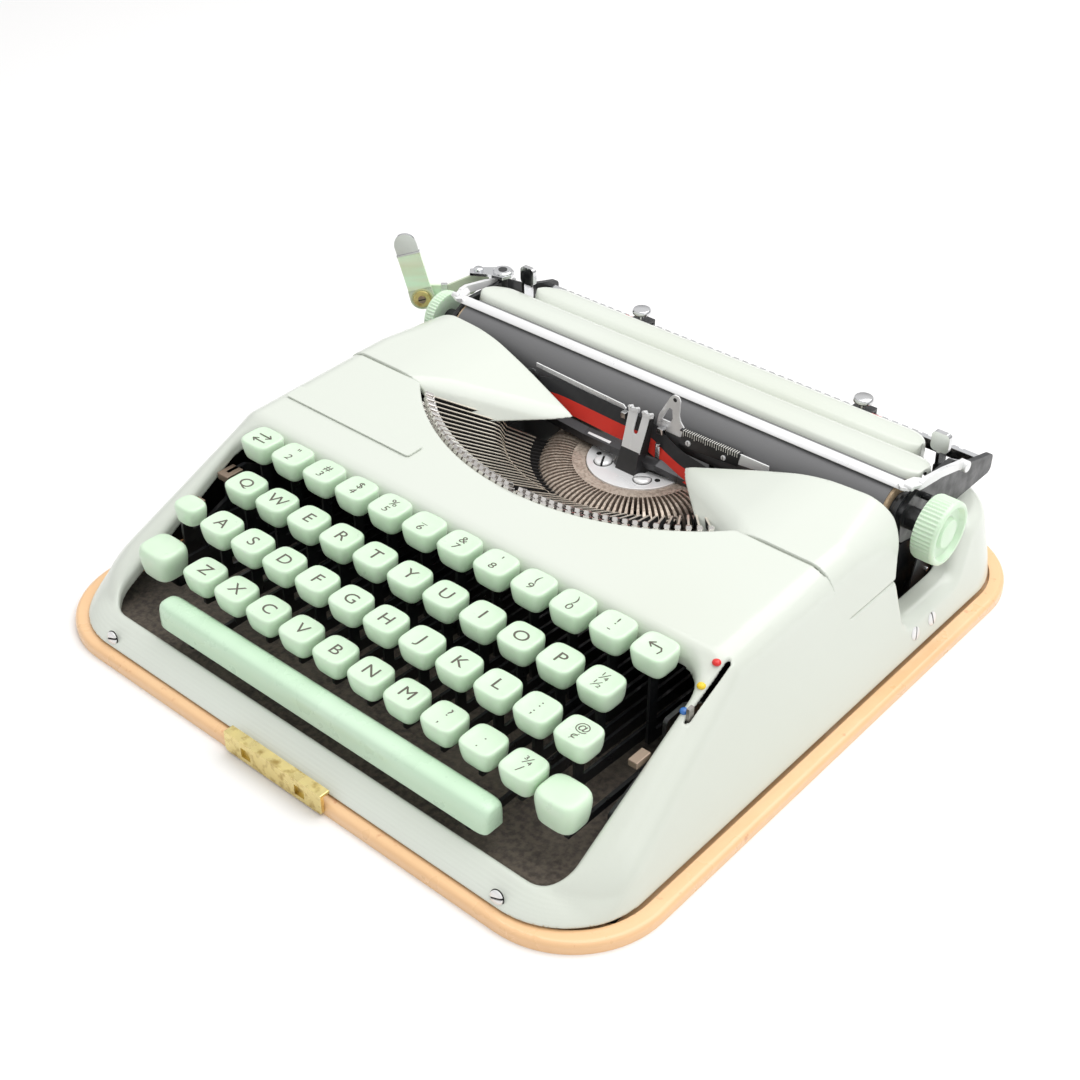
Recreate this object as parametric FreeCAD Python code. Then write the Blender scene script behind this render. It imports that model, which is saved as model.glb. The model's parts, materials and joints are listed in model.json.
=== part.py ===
"""Flat portable typewriter in its travelling tray.

Millimetres.  +X is to the typist's right, +Y is away from the typist, +Z is up.
The origin is the centre of the tray's underside, on the surface it stands on.
"""
import FreeCAD, Part
import math
import os

V = FreeCAD.Vector
ORIGIN = V(0, 0, 0)

# ---------------------------------------------------------------- driving sizes
TRAY_HALF_WIDTH = 151.9
TRAY_HALF_DEPTH = 155.5
TRAY_CORNER = 41.0
TRAY_HEIGHT = 4.8
TRAY_FLOOR = 1.5
FELT_TOP = 4.5

WALL = 2.0                      # thickness of the pressed covers
BODY_BASE = 5.5                 # underside of the body shell
BODY_TOP = 72.0                 # height at which the tapering sides are measured
# height, half width, front y, rear y, corner radius of the body at three levels
BODY_LEVELS = [
    (BODY_BASE, 144.5, -152.0, 150.0, 36.0),
    (13.0, 142.2, -144.0, 148.0, 31.0),
    (BODY_TOP, 128.2, -136.0, 142.0, 24.0),
]
LEDGE_Z = 13.0                  # front ledge in front of the keys
WELL_HALF_WIDTH = 123.0         # keyboard opening
WELL_FRONT = -138.0
WELL_BACK = -54.5
WELL_CORNER = 12.0
DECK_FRONT_Z = 64.3
SEAM_Y = 12.6                   # joint between body shell and ribbon cover
SEAM_GAP = 0.3
SEAM_SIDE_Z = 42.0
SEAM_LOW_Y = 20.5               # where the seam meets its lower run along the side
DECK_SEAM_Z = 67.3
DECK_REAR_Z = 68.4
COVER_REAR_Y = 66.2             # clear of the platen when the carriage is shifted up
NOTCH_Z = 20.0                  # low side wall under the platen knobs
REAR_Z = 38.0                   # top of the rear part of the body
INNER_HALF_WIDTH = 126.0        # open middle of the body
BASKET_ARC_Y = 95.6             # centre of the curved basket edge
BASKET_ARC_R = 118.9

KEY_PITCH = 19.05
# name, first key x, key count, y, height of the key top
KEY_ROWS = [
    ("number_row", -104.8, 12, -62.4, 65.0),
    ("top_row", -95.0, 11, -80.9, 56.0),
    ("home_row", -89.2, 11, -100.0, 48.5),
    ("bottom_row", -80.3, 10, -117.5, 38.8),
]
KEY_H_INDEX = 5                 # this home-row key has its own joint
CAP_BASE = 14.4
CAP_TOP = 12.4
CAP_HEIGHT = 10.0
LEVER_THICK = 1.2
FULCRUM_Y = 25.0
FULCRUM_Z = 16.5
FULCRUM_R = 2.0
FIT = 0.06                      # radial clearance of every running fit
LEVER_RISE = 0.056              # slope of the key levers towards the front

SEGMENT_Y = 62.0
SEGMENT_BASE = 29.0
SEGMENT_TOP = 37.0
SEGMENT_INNER_R = 21.5
SEGMENT_OUTER_R = 46.0
TYPEBAR_COUNT = 43
TYPEBAR_PIVOT_R = 41.0
TYPEBAR_PIVOT_Z = 34.0
PIVOT_WIRE_R = 0.7
TYPEBAR_FAN_DEG = 55.0
TYPEBAR_THICK = 0.6
SLOT_THICK = 0.8
SLOT_INNER_R = 27.0
TYPEBAR_HEAD_Z = 62.5
REST_Z = 53.5                   # shelf that the type heads lie on
HEAD_ARC_R = 115.0

PLATEN_Y = 80.5
PLATEN_Z = 54.0
PLATEN_R = 13.7
PLATEN_HALF = 117.0
CORE_R = 11.5
SHAFT_R = 3.0
KNOB_R = 14.0
KNOB_INNER_X = 132.0
KNOB_OUTER_X = 143.0
LEFT_KNOB_R = 12.5
LEFT_KNOB_OUTER_X = 138.5
END_PLATE_X = 122.0
END_PLATE_THICK = 2.5
CARRIAGE_LOW = 42.0
TRUCK_Z = 38.4
RAIL_Y = 104.5
RACK_Y = 144.0
RACK_Z = 49.0

RETURN_PIVOT = V(-123.0, 109.0, 71.0)
FINGER_PIVOT = V(-154.0, 84.0, 57.0)
FINGER_LENGTH = 34.0
FINGER_LEAN_DEG = 14.0
FINGER_TURN_DEG = 41.0          # the finger faces forward and to the right


# ---------------------------------------------------------------- shape helpers
def place(plane, u, v, w):
    """Point with in-plane coordinates u, v and height w on plane xy, yz or xz."""
    if plane == "xy":
        return V(u, v, w)
    if plane == "yz":
        return V(w, u, v)
    return V(u, w, v)


def rounded_wire(plane, points, w, radius=0.0):
    """Closed outline through points, with every corner rounded to radius.

    A point may carry its own radius as a third number.
    """
    count = len(points)
    edges = []
    ends = []
    for i in range(count):
        here = V(points[i][0], points[i][1], 0)
        before = V(points[i - 1][0], points[i - 1][1], 0)
        after = V(points[(i + 1) % count][0], points[(i + 1) % count][1], 0)
        r = points[i][2] if len(points[i]) > 2 else radius
        to_before = (before - here).normalize()
        to_after = (after - here).normalize()
        half = to_before.getAngle(to_after) / 2
        if r <= 0 or abs(half - math.pi / 2) < 1e-6:
            ends.append((here, None, here))
            continue
        reach = r / math.tan(half)
        middle = (to_before + to_after).normalize()
        mid = here + middle * (r / math.sin(half) - r)
        ends.append((here + to_before * reach, mid, here + to_after * reach))
    for i in range(count):
        start, mid, end = [p and place(plane, p.x, p.y, w) for p in ends[i]]
        if mid:
            edges.append(Part.Arc(start, mid, end).toShape())
        following = place(plane, ends[(i + 1) % count][0].x, ends[(i + 1) % count][0].y, w)
        if end.distanceToPoint(following) > 1e-6:
            edges.append(Part.LineSegment(end, following).toShape())
    return Part.Wire(edges)


def slab(plane, points, w0, w1, radius=0.0):
    """Outline extruded from w0 to w1 along the plane's normal."""
    face = Part.Face(rounded_wire(plane, points, w0, radius))
    return face.extrude(place(plane, 0, 0, w1 - w0))


def box(x0, x1, y0, y1, z0, z1):
    return Part.makeBox(x1 - x0, y1 - y0, z1 - z0, V(x0, y0, z0))


def rod(start, end, radius):
    return Part.makeCylinder(radius, (end - start).Length, start, end - start)


def disc(centre, radius, height):
    return Part.makeCylinder(radius, height, centre)


def rectangle(half_width, front, rear):
    return [(-half_width, front), (half_width, front), (half_width, rear), (-half_width, rear)]


def fused(shapes):
    first = shapes[0]
    return first.fuse(shapes[1:]).removeSplitter() if len(shapes) > 1 else first


def mirrored(shape):
    return shape.mirror(ORIGIN, V(1, 0, 0))


def softened(shape, radius, chosen):
    """Fillet the edges that chosen() picks; keep the sharp shape if that fails."""
    edges = [e for e in shape.Edges if chosen(e)]
    try:
        result = shape.makeFillet(radius, edges)
        return result if result.isValid() and result.Solids else shape
    except Exception:
        return shape


def group(shapes):
    return Part.makeCompound(shapes)


# ---------------------------------------------------------------- tray and covers
def base_tray():
    outer = slab("xy", rectangle(TRAY_HALF_WIDTH, -TRAY_HALF_DEPTH, TRAY_HALF_DEPTH), 0, TRAY_HEIGHT,
                 TRAY_CORNER)
    rim = 6.5
    pocket = slab("xy", rectangle(TRAY_HALF_WIDTH - rim, -TRAY_HALF_DEPTH + rim, TRAY_HALF_DEPTH - rim),
                  TRAY_FLOOR, TRAY_HEIGHT + 1, TRAY_CORNER - rim)
    tray = outer.cut(pocket)
    outside = lambda e: e.BoundBox.ZMin > TRAY_HEIGHT - 0.01 and (
        abs(e.BoundBox.XMax) > TRAY_HALF_WIDTH - rim + 1 or abs(e.BoundBox.XMin) > TRAY_HALF_WIDTH - rim + 1
        or abs(e.BoundBox.YMax) > TRAY_HALF_DEPTH - rim + 1)
    return softened(tray, 2.2, outside)


def tray_latch():
    """Brass clasp on the front of the tray, with two square holes for the lid's hook."""
    half, low, high = 27.0, 1.0, 10.5
    front = -TRAY_HALF_DEPTH - 1.6
    plate = slab("xz", [(-half, low), (half, low), (half, high), (-half, high)], front, front + 1.4, 1.5)
    lip = slab("xz", [(-half, high - 1.5), (half, high - 1.5), (half, high), (-half, high)],
               front, -152.6, 0.4)
    holes = [box(s * 15.0 - 2.6, s * 15.0 + 2.6, front - 1, front + 1.3, 3.0, 7.6) for s in (-1, 1)]
    return fused([plate, lip]).cut(group(holes))


def tapered_block(inset):
    """The body's tapering outside, moved inwards by inset."""
    wires = []
    for z, half, front, rear, corner in BODY_LEVELS:
        slope = 1.3 if z < LEDGE_Z + 1 else 1.05
        wires.append(rounded_wire("xy", rectangle(half - inset * 1.05, front + inset * slope, rear - inset),
                                  z, corner - inset))
    lower = Part.makeLoft(wires[:2], True, True)
    upper = Part.makeLoft(wires[1:], True, True)
    return lower.fuse(upper).removeSplitter()


FAR = 170.0


def body_profile(drop):
    """Side view of the body shell's upper surface, lowered by drop."""
    points = [
        (-FAR, 0.0), (-FAR, LEDGE_Z - drop), (-137.0 - drop * 0.3, LEDGE_Z - drop, 3.0),
        (-57.0 + drop * 0.4, 59.6 - drop, 4.0), (-50.0 + drop * 0.4, DECK_FRONT_Z - drop, 5.0),
        (SEAM_Y, DECK_SEAM_Z - drop), (SEAM_LOW_Y, SEAM_SIDE_Z - drop, 7.0),
        (56.0, SEAM_SIDE_Z - drop, 3.0), (59.0, NOTCH_Z - drop, 4.0),
        (98.0, NOTCH_Z - drop, 9.0), (113.0, REAR_Z - drop, 9.0), (FAR, REAR_Z - drop),
        (FAR, 0.0),
    ]
    return slab("yz", points, -FAR, FAR)


def well_prism(grow, low, high):
    return slab("xy", rectangle(WELL_HALF_WIDTH + grow, WELL_FRONT - grow, WELL_BACK + grow), low, high,
                WELL_CORNER + grow)


def basket_cutter():
    return disc(V(0, BASKET_ARC_Y, 40), BASKET_ARC_R, 60)


def body_shell():
    outer = tapered_block(0).common(body_profile(0))
    inner = tapered_block(WALL).common(body_profile(WALL))
    shell = outer.cut(inner)
    lip = well_prism(1.6, 8, 80).cut(well_prism(0, 7, 81))
    lip = lip.common(outer).cut(outer.translated(V(0, 0, -6.0)))
    middle = slab("xy", rectangle(INNER_HALF_WIDTH, SEAM_Y - 20, 112.0), 0, 100, 3.0)
    middle = middle.cut(box(-FAR, FAR, -60, SEAM_Y, 0, 100))
    holes = group([site["hole"] for site in cover_screw_sites()] + dot_holes())
    return shell.cut(well_prism(0, 0, 100)).fuse(lip).cut(middle).cut(basket_cutter()).cut(
        selector_slot()).cut(holes).removeSplitter()


def cover_profile():
    """Side view of the ribbon cover: deck on top, seam below, curved rear edge."""
    front = SEAM_Y + SEAM_GAP
    points = [
        (front, DECK_SEAM_Z), (SEAM_LOW_Y + SEAM_GAP, SEAM_SIDE_Z + SEAM_GAP, 6.7),
        (55.5, SEAM_SIDE_Z + SEAM_GAP, 2.0), (58.6, 52.0, 22.0), (65.6, 62.5, 8.0),
        (COVER_REAR_Y, DECK_REAR_Z, 2.0),
    ]
    return slab("yz", points, -FAR, FAR)


EAR_TIP = V(28.8, 53.8, 51.0)
EAR_FRONT = V(88.8, 13.4, DECK_SEAM_Z - 0.1)
EAR_REAR = V(88.8, 65.0, DECK_REAR_Z - 0.3)
EAR_LOW = V(69.0, 15.5, 52.0)
EAR_SHEET = 1.6


def sheet(corners, thickness):
    """Flat plate through corners, thickened downwards."""
    face = Part.Face(Part.makePolygon(corners + [corners[0]]))
    normal = face.normalAt(0, 0)
    if normal.z > 0:
        normal = normal * -1
    return face.extrude(normal * thickness)


def ribbon_cover_ear():
    """Pointed wing beside the type basket: a sloping top and a steep front."""
    top = sheet([EAR_FRONT, EAR_TIP, EAR_REAR], EAR_SHEET)
    front = sheet([EAR_FRONT, EAR_LOW, EAR_TIP], EAR_SHEET)
    return fused([top, front])


def ribbon_cover():
    outer = tapered_block(0).common(cover_profile())
    inner = tapered_block(WALL).common(body_profile_under_cover())
    shell = outer.cut(inner)
    middle = slab("xy", [(-88.0, -20.0), (88.0, -20.0), (88.0, 90.0, 4.0), (-88.0, 90.0, 4.0)], 0, 100)
    shell = shell.cut(middle)
    return fused([shell, ribbon_cover_ear(), mirrored(ribbon_cover_ear())])


def body_profile_under_cover():
    deck = [(-FAR, 0.0), (-FAR, DECK_SEAM_Z - WALL), (SEAM_Y, DECK_SEAM_Z - WALL),
            (COVER_REAR_Y + 0.1, DECK_REAR_Z - WALL), (FAR, DECK_REAR_Z - WALL), (FAR, 0.0)]
    return slab("yz", deck, -FAR, FAR)


def border_z(y):
    """Height of the sloping border beside the keys."""
    return LEDGE_Z + (y + 137.0) * (59.6 - LEDGE_Z) / 80.0


SLOT_X = 127.3
SLOT_WIDTH = 2.0
SLOT_FRONT = -73.5
SLOT_BACK = -48.0
DOT_X = 125.0


def selector_slot():
    """Slot in the sloping right-hand border, open straight down."""
    half = SLOT_WIDTH / 2
    corners = [(SLOT_X - half, SLOT_FRONT), (SLOT_X + half, SLOT_FRONT), (SLOT_X + half, SLOT_BACK),
               (SLOT_X - half, SLOT_BACK)]
    return slab("xy", corners, 38, 80, 0.95)


def dot_places():
    return [V(DOT_X, y, border_z(y)) for y in (-70.5, -61.0, -52.5)]


def selector_dots():
    """Three painted buttons beside the slot, standing just proud of the border."""
    out = V(0, -0.5, 0.86)
    return [rod(at - out * 1.6, at + out * 0.6, 1.4) for at in dot_places()]


def dot_holes():
    out = V(0, -0.5, 0.86)
    return [rod(at - out * 3.0, at + out * 3.0, 1.4) for at in dot_places()]


def cover_screw_sites():
    """Slotted screws along the foot of the shell: two in front, two on each side."""
    sites = []
    places = [V(106.5, -149.3, 8.3), V(-106.5, -149.3, 8.3)]
    outward = [V(0, -0.75, 0.66), V(0, -0.75, 0.66)]
    for side in (-1, 1):
        for y in (65.0, 78.0):
            places.append(V(side * 142.4, y, 12.6))
            outward.append(V(side * 0.95, 0, 0.3))
    for at, out in zip(places, outward):
        out = V(out).normalize()
        hole = rod(at - out * 4.0, at + out * 4.0, 2.6)
        head = rod(at - out * 2.4, at + out * 0.25, 2.5)
        across = out.cross(V(0, 0, 1)).normalize()
        slot = rod(at + out * 0.25 - across * 3, at + out * 0.25 + across * 3, 0.45)
        sites.append({"hole": hole, "screw": head.cut(slot)})
    return sites


def nameplate():
    """Blank raised bar with rounded ends on the left of the deck."""
    rise = (DECK_SEAM_Z - DECK_FRONT_Z) / (SEAM_Y + 50.0)
    z = DECK_FRONT_Z + (50.0 - 33.0) * rise
    plate = slab("xy", [(-122.0, -33.2), (-47.5, -33.2), (-47.5, -24.0), (-122.0, -24.0)], z, z + 0.7, 1.5)
    plate.rotate(V(0, -33.0, z), V(1, 0, 0), math.degrees(math.atan(rise)))
    return plate


def felt_mat():
    """Sound-deadening felt on the tray, narrower where the side plates stand."""
    half = [(117.0, -20.0), (117.0, -106.0), (138.0, -106.0), (138.0, -143.0, 28.0)]
    points = [(-p[0],) + p[1:] for p in half] + half[::-1]
    return slab("xy", points, TRAY_FLOOR, FELT_TOP, 1.0)


# ---------------------------------------------------------------- frame and keys
FRAME_X = 118.2
FRAME_THICK = 1.8


def side_frames():
    """Left and right steel side plates that carry the shaft, rail and segment."""
    points = [(-104.0, TRAY_FLOOR), (118.0, TRAY_FLOOR), (118.0, 33.4), (94.0, 33.4), (88.0, 36.0),
              (20.0, 36.0), (-52.0, 40.0),
              (-62.0, 46.0), (-74.0, 46.0), (-74.0, 34.0), (-104.0, 22.0)]
    plate = slab("yz", points, FRAME_X, FRAME_X + FRAME_THICK, 2.0)
    bore = rod(V(110, FULCRUM_Y, FULCRUM_Z), V(125, FULCRUM_Y, FULCRUM_Z), FULCRUM_R)
    foot = box(FRAME_X - 8.0, FRAME_X, 30.0, 100.0, TRAY_FLOOR, TRAY_FLOOR + 1.6)
    right = fused([plate.cut(bore), foot])
    return [right, mirrored(right)]


def fulcrum_shaft():
    reach = FRAME_X + FRAME_THICK
    return rod(V(-reach, FULCRUM_Y, FULCRUM_Z), V(reach, FULCRUM_Y, FULCRUM_Z), FULCRUM_R)


def key_cap(x, y, top, base=CAP_BASE, head=CAP_TOP, height=CAP_HEIGHT):
    low = rounded_wire("xy", rectangle(base / 2, -base / 2, base / 2), 0, base * 0.32)
    high = rounded_wire("xy", rectangle(head / 2, -head / 2, head / 2), height, head * 0.32)
    cap = Part.makeLoft([low, high], True, True)
    dish_r = 26.0
    dish = Part.makeSphere(dish_r, V(0, 0, height + dish_r - 0.7))
    return cap.cut(dish).translated(V(x, y, top - height))


def lever_height(y):
    return FULCRUM_Z + (FULCRUM_Y - y) * LEVER_RISE


def key_lever(x, y, under):
    """Steel lever from the fulcrum shaft forward, with an upright that carries the cap."""
    bar = 2.4
    points = [(FULCRUM_Y + 4.5, FULCRUM_Z + 4.2, 2.0), (FULCRUM_Y - 4.5, FULCRUM_Z + 4.2, 2.0),
              (y + 2.4, lever_height(y) + bar, 1.0), (y + 2.4, under), (y - 2.4, under),
              (y - 2.4, lever_height(y) - bar, 1.5), (FULCRUM_Y - 4.5, FULCRUM_Z - 3.0, 2.0),
              (FULCRUM_Y + 4.5, FULCRUM_Z - 3.6, 2.0)]
    lever = slab("yz", points, x - LEVER_THICK / 2, x + LEVER_THICK / 2)
    bore = rod(V(x - 3, FULCRUM_Y, FULCRUM_Z), V(x + 3, FULCRUM_Y, FULCRUM_Z), FULCRUM_R + FIT)
    return lever.cut(bore)


def key_places(row):
    name, first, count, y, top = row
    return [(first + KEY_PITCH * i, y, top) for i in range(count)]


def arm_on_shaft(x, points, thick=1.5, corner=1.2):
    """Flat arm in a side-view plane with a running bore on the fulcrum shaft."""
    arm = slab("yz", points, x - thick / 2, x + thick / 2, corner)
    bore = rod(V(x - 4, FULCRUM_Y, FULCRUM_Z), V(x + 4, FULCRUM_Y, FULCRUM_Z), FULCRUM_R + FIT)
    return arm.cut(bore)


SPACE_HALF = 90.0
SPACE_TOP = 28.0
SPACE_FRONT = -137.2
SPACE_BACK = -126.0
SPACE_LOW = 16.5
SPACE_ARM_X = (-73.05, 79.35)


def space_bar():
    section = [(SPACE_FRONT, SPACE_LOW, 1.0), (SPACE_BACK, SPACE_LOW, 1.0),
               (SPACE_BACK - 0.6, SPACE_TOP, 2.5), (SPACE_FRONT + 1.5, SPACE_TOP, 3.5)]
    bar = slab("yz", section, -SPACE_HALF, SPACE_HALF)
    plan = slab("xy", rectangle(SPACE_HALF, SPACE_FRONT - 1, SPACE_BACK + 1), 0, 40, 5.5)
    return bar.common(plan)


def space_bar_arms():
    """Flat arms from the fulcrum shaft that pass under the keys and lift the bar."""
    points = [(FULCRUM_Y + 4.0, FULCRUM_Z + 3.6), (FULCRUM_Y - 4.0, FULCRUM_Z + 3.6), (-60.0, 14.2),
              (-122.0, 13.2), (SPACE_BACK - 1.0, 13.2), (SPACE_BACK - 2.0, SPACE_LOW),
              (SPACE_FRONT + 2.5, SPACE_LOW), (SPACE_FRONT + 2.5, 12.0), (SPACE_BACK, 9.8), (-60.0, 10.6),
              (FULCRUM_Y - 4.0, FULCRUM_Z - 3.6), (FULCRUM_Y + 4.0, FULCRUM_Z - 3.6)]
    return [arm_on_shaft(x, points, corner=0.3) for x in SPACE_ARM_X]


SHIFT_X = 108.8
SHIFT_Y = -116.9
SHIFT_CAP = (17.6, 15.0, 13.0)   # base, top and height of a shift key
SHIFT_TOP = 36.5


def shift_key_caps():
    return [key_cap(side * SHIFT_X, SHIFT_Y, SHIFT_TOP, *SHIFT_CAP) for side in (-1, 1)]


def shift_yoke():
    """Two arms and a cross tube, so that either shift key lifts the carriage."""
    x = 112.6
    under = SHIFT_TOP - SHIFT_CAP[2]
    points = [(FULCRUM_Y + 4.0, FULCRUM_Z + 3.6), (FULCRUM_Y - 4.0, FULCRUM_Z + 3.6), (-60.0, 20.5),
              (SHIFT_Y + 3.0, 21.5), (SHIFT_Y + 3.0, under), (SHIFT_Y - 3.0, under), (SHIFT_Y - 3.0, 18.0),
              (-60.0, 17.0), (0.0, 11.2), (2.0, 7.2), (10.0, 7.2), (FULCRUM_Y + 4.0, FULCRUM_Z - 3.6)]
    arms = [arm_on_shaft(side * x, points) for side in (-1, 1)]
    reach = x - 0.75
    tube = rod(V(-reach, 6.0, 9.4), V(reach, 6.0, 9.4), 1.6)
    return arms + [tube]


def shift_lock_key():
    """Small round-cornered key on its own short lever beside the left shift key."""
    x, y, top = -110.0, -99.5, 48.5
    cap = key_cap(x, y, top, 11.5, 9.6, 8.0)
    stem = slab("yz", [(y - 2.5, top - 8.0), (y + 2.5, top - 8.0), (y + 2.5, 32.0), (-64.0, 27.5),
                       (-64.0, 23.0), (y - 2.5, 27.0)], x - 5.2, x - 3.8, 0.8)
    shelf = box(x - 5.2, x + 2.0, y - 2.5, y + 2.5, top - 8.8, top - 8.0)
    boss = rod(V(x - 5.2, -64.0, 25.3), V(x - 3.8, -64.0, 25.3), 4.0)
    bore = rod(V(x - 9, -64.0, 25.3), V(x + 3, -64.0, 25.3), 1.5 + FIT)
    return fused([cap, stem.cut(box(x - 9, x, y - 4, y + 4, top - 8.0, top)), shelf, boss]).cut(bore)


def shift_lock_pin():
    return rod(V(-FRAME_X, -64.0, 25.3), V(-113.7, -64.0, 25.3), 1.5)


# ---------------------------------------------------------------- type basket
def ring(centre, outer, inner, height):
    return disc(centre, outer, height).cut(disc(centre - V(0, 0, 1), inner, height + 2))


def typebar_angles():
    middle = (TYPEBAR_COUNT - 1) / 2
    return [(i - middle) / middle for i in range(TYPEBAR_COUNT)]


def typebar_reach(angle):
    """Level distance from the segment's centre to the arc that the type heads lie on."""
    offset = BASKET_ARC_Y - SEGMENT_Y
    return math.sqrt(HEAD_ARC_R ** 2 - (offset * math.sin(angle)) ** 2) - offset * math.cos(angle)


def type_segment():
    """Slotted half ring that guides the typebars, on a web with two feet."""
    base = V(0, SEGMENT_Y, SEGMENT_BASE)
    body = ring(base, SEGMENT_OUTER_R, SEGMENT_INNER_R, SEGMENT_TOP - SEGMENT_BASE)
    dome = Part.makeCone(SEGMENT_OUTER_R + SEGMENT_TOP - SEGMENT_BASE, SEGMENT_OUTER_R - 5.0,
                         SEGMENT_TOP - SEGMENT_BASE, base)
    body = body.common(dome)
    web = disc(base, SEGMENT_INNER_R + 0.5, 6.0)
    front = box(-60, 60, 0, SEGMENT_Y - 1.0, 0, 60)
    body = fused([body, web]).common(front)
    slots = []
    for share in typebar_angles():
        slot = box(-SLOT_THICK / 2, SLOT_THICK / 2, -SEGMENT_OUTER_R - 5, -SLOT_INNER_R,
                   SEGMENT_BASE + 1.5, SEGMENT_TOP + 1)
        slot.rotate(ORIGIN, V(0, 0, 1), share * TYPEBAR_FAN_DEG)
        slots.append(slot.translated(V(0, SEGMENT_Y, 0)))
    legs = [box(s * 26 - 4, s * 26 + 4, SEGMENT_Y - 9.0, SEGMENT_Y - 1.0, TRAY_FLOOR,
                SEGMENT_BASE + 1) for s in (-1, 1)]
    wire = Part.makeTorus(TYPEBAR_PIVOT_R, PIVOT_WIRE_R, V(0, SEGMENT_Y, TYPEBAR_PIVOT_Z), V(0, 0, 1))
    wire = wire.common(front)
    return fused([body.cut(group(slots)), wire] + legs)


def segment_plate():
    base = V(0, SEGMENT_Y, SEGMENT_BASE + 6.0)
    plate = disc(base, SEGMENT_INNER_R - 0.2, 2.6).cut(disc(base - V(0, 2, 1), 10.5, 6))
    return plate.common(box(-30, 30, 0, SEGMENT_Y - 5.0, 0, 60)).cut(group([s["hole"] for s in plate_screws()]))


def plate_screws():
    sites = []
    for side in (-1, 1):
        at = V(side * 13.0, SEGMENT_Y - 11.0, SEGMENT_BASE + 6.0)
        hole = disc(at, 2.0, 4.0)
        head = disc(at + V(0, 0, 2.6), 3.0, 1.2).fuse(disc(at, 1.95, 2.7))
        slot = box(-4, 4, -0.4, 0.4, 0, 1)
        slot.rotate(ORIGIN, V(0, 0, 1), side * 35)
        sites.append({"hole": hole, "screw": head.cut(slot.translated(at + V(0, 0, 3.3)))})
    return sites


def typebar(share):
    """One bar: a flat strip from its pivot to a type head, in its own upright plane."""
    angle = math.radians(share * TYPEBAR_FAN_DEG)
    flat = typebar_reach(angle) - TYPEBAR_PIVOT_R
    rise = TYPEBAR_HEAD_Z - TYPEBAR_PIVOT_Z
    length = math.hypot(flat, rise)
    neck = length - 3.0
    half = TYPEBAR_THICK / 2
    outline = [(-2.6, -1.8), (8.0, -1.8), (neck, -1.0), (neck, 1.0), (8.0, 1.8), (-2.6, 1.8)]
    bar = slab("xz", outline, -half, half, 0.6)
    slug = box(neck, length, -1.3, 1.3, -4.6, 0.8)
    bore = rod(V(0, -1, 0), V(0, 1, 0), PIVOT_WIRE_R + 0.1)
    part = fused([bar, slug]).cut(bore)
    part.rotate(ORIGIN, V(0, -1, 0), math.degrees(math.atan2(rise, flat)))
    part.translate(V(TYPEBAR_PIVOT_R, 0, TYPEBAR_PIVOT_Z))
    part.rotate(ORIGIN, V(0, 0, 1), share * TYPEBAR_FAN_DEG - 90.0)
    return part.translated(V(0, SEGMENT_Y, 0))


def type_rest():
    """Curved shelf and pad under the basket edge that the type heads lie on."""
    base = V(0, BASKET_ARC_Y, REST_Z)
    shelf = ring(base, BASKET_ARC_R + 3.0, HEAD_ARC_R - 3.5, 1.5)
    pad = ring(base, HEAD_ARC_R + 4.0, HEAD_ARC_R - 3.5, 3.2)
    band = fused([shelf, pad]).common(box(-84.0, 84.0, -30, 12.0, 0, 80))
    hanger = ring(base, BASKET_ARC_R + 3.0, BASKET_ARC_R + 1.0, 9.7)
    tabs = hanger.common(group([box(s * 32 - 5, s * 32 + 5, -30, 12.0, 0, 80) for s in (-1, 1)]))
    return fused([band, tabs])


def type_guide():
    """Bracket with a forked steel plate that centres each bar as it strikes."""
    fork = slab("xz", [(-6.0, 0.0), (6.0, 0.0), (6.0, 17.0), (-6.0, 17.0)], -0.8, 0.8, 1.0)
    fork = fork.cut(slab("xz", [(-1.9, 4.5), (1.9, 4.5), (1.9, 20.0), (-1.9, 20.0)], -2, 2, 0.8))
    fork.rotate(ORIGIN, V(1, 0, 0), -18.0)
    fork = fork.translated(V(0, 55.5, 45.0))
    post = box(-5.0, -2.6, 53.6, 57.2, 37.7, 49.0).fuse(box(2.6, 5.0, 53.6, 57.2, 37.7, 49.0))
    foot = slab("xy", [(-6.0, 53.6), (6.0, 53.6), (6.0, 59.0), (-6.0, 59.0)], 35.0, 38.0, 1.5)
    return fused([post, foot, fork])


RIBBON_Y = 65.95
RIBBON_THICK = 0.3
RIBBON_LOW = 41.9
RIBBON_HIGH = 54.4
SPOOL_X = 100.0
SPOOL_Y = 38.0
SPOOL_Z = 42.0


def ribbon():
    """Two-colour ribbon: one thin standing strip from spool to spool."""
    half = RIBBON_THICK / 2
    right = [(0.0, RIBBON_Y), (13.0, RIBBON_Y), (46.0, 59.0), (80.5, 41.0)]
    front = [(-x, y - half) for x, y in reversed(right[1:])] + [(x, y - half) for x, y in right]
    back = [(x, y + half) for x, y in reversed(right)] + [(-x, y + half) for x, y in right[1:]]
    return slab("xy", front + back, RIBBON_LOW, RIBBON_HIGH)


def ribbon_spool(side):
    """Flanged spool with the wound ribbon, turning about an upright axis."""
    at = V(side * SPOOL_X, SPOOL_Y, SPOOL_Z)
    flanges = [disc(at, 19.0, 0.8), disc(at + V(0, 0, 17.2), 19.0, 0.8)]
    wound = disc(at + V(0, 0, 0.8), 15.0, 16.4)
    bore = disc(at - V(0, 0, 1), 2.0 + FIT, 30)
    return fused(flanges + [wound]).cut(bore)


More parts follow.
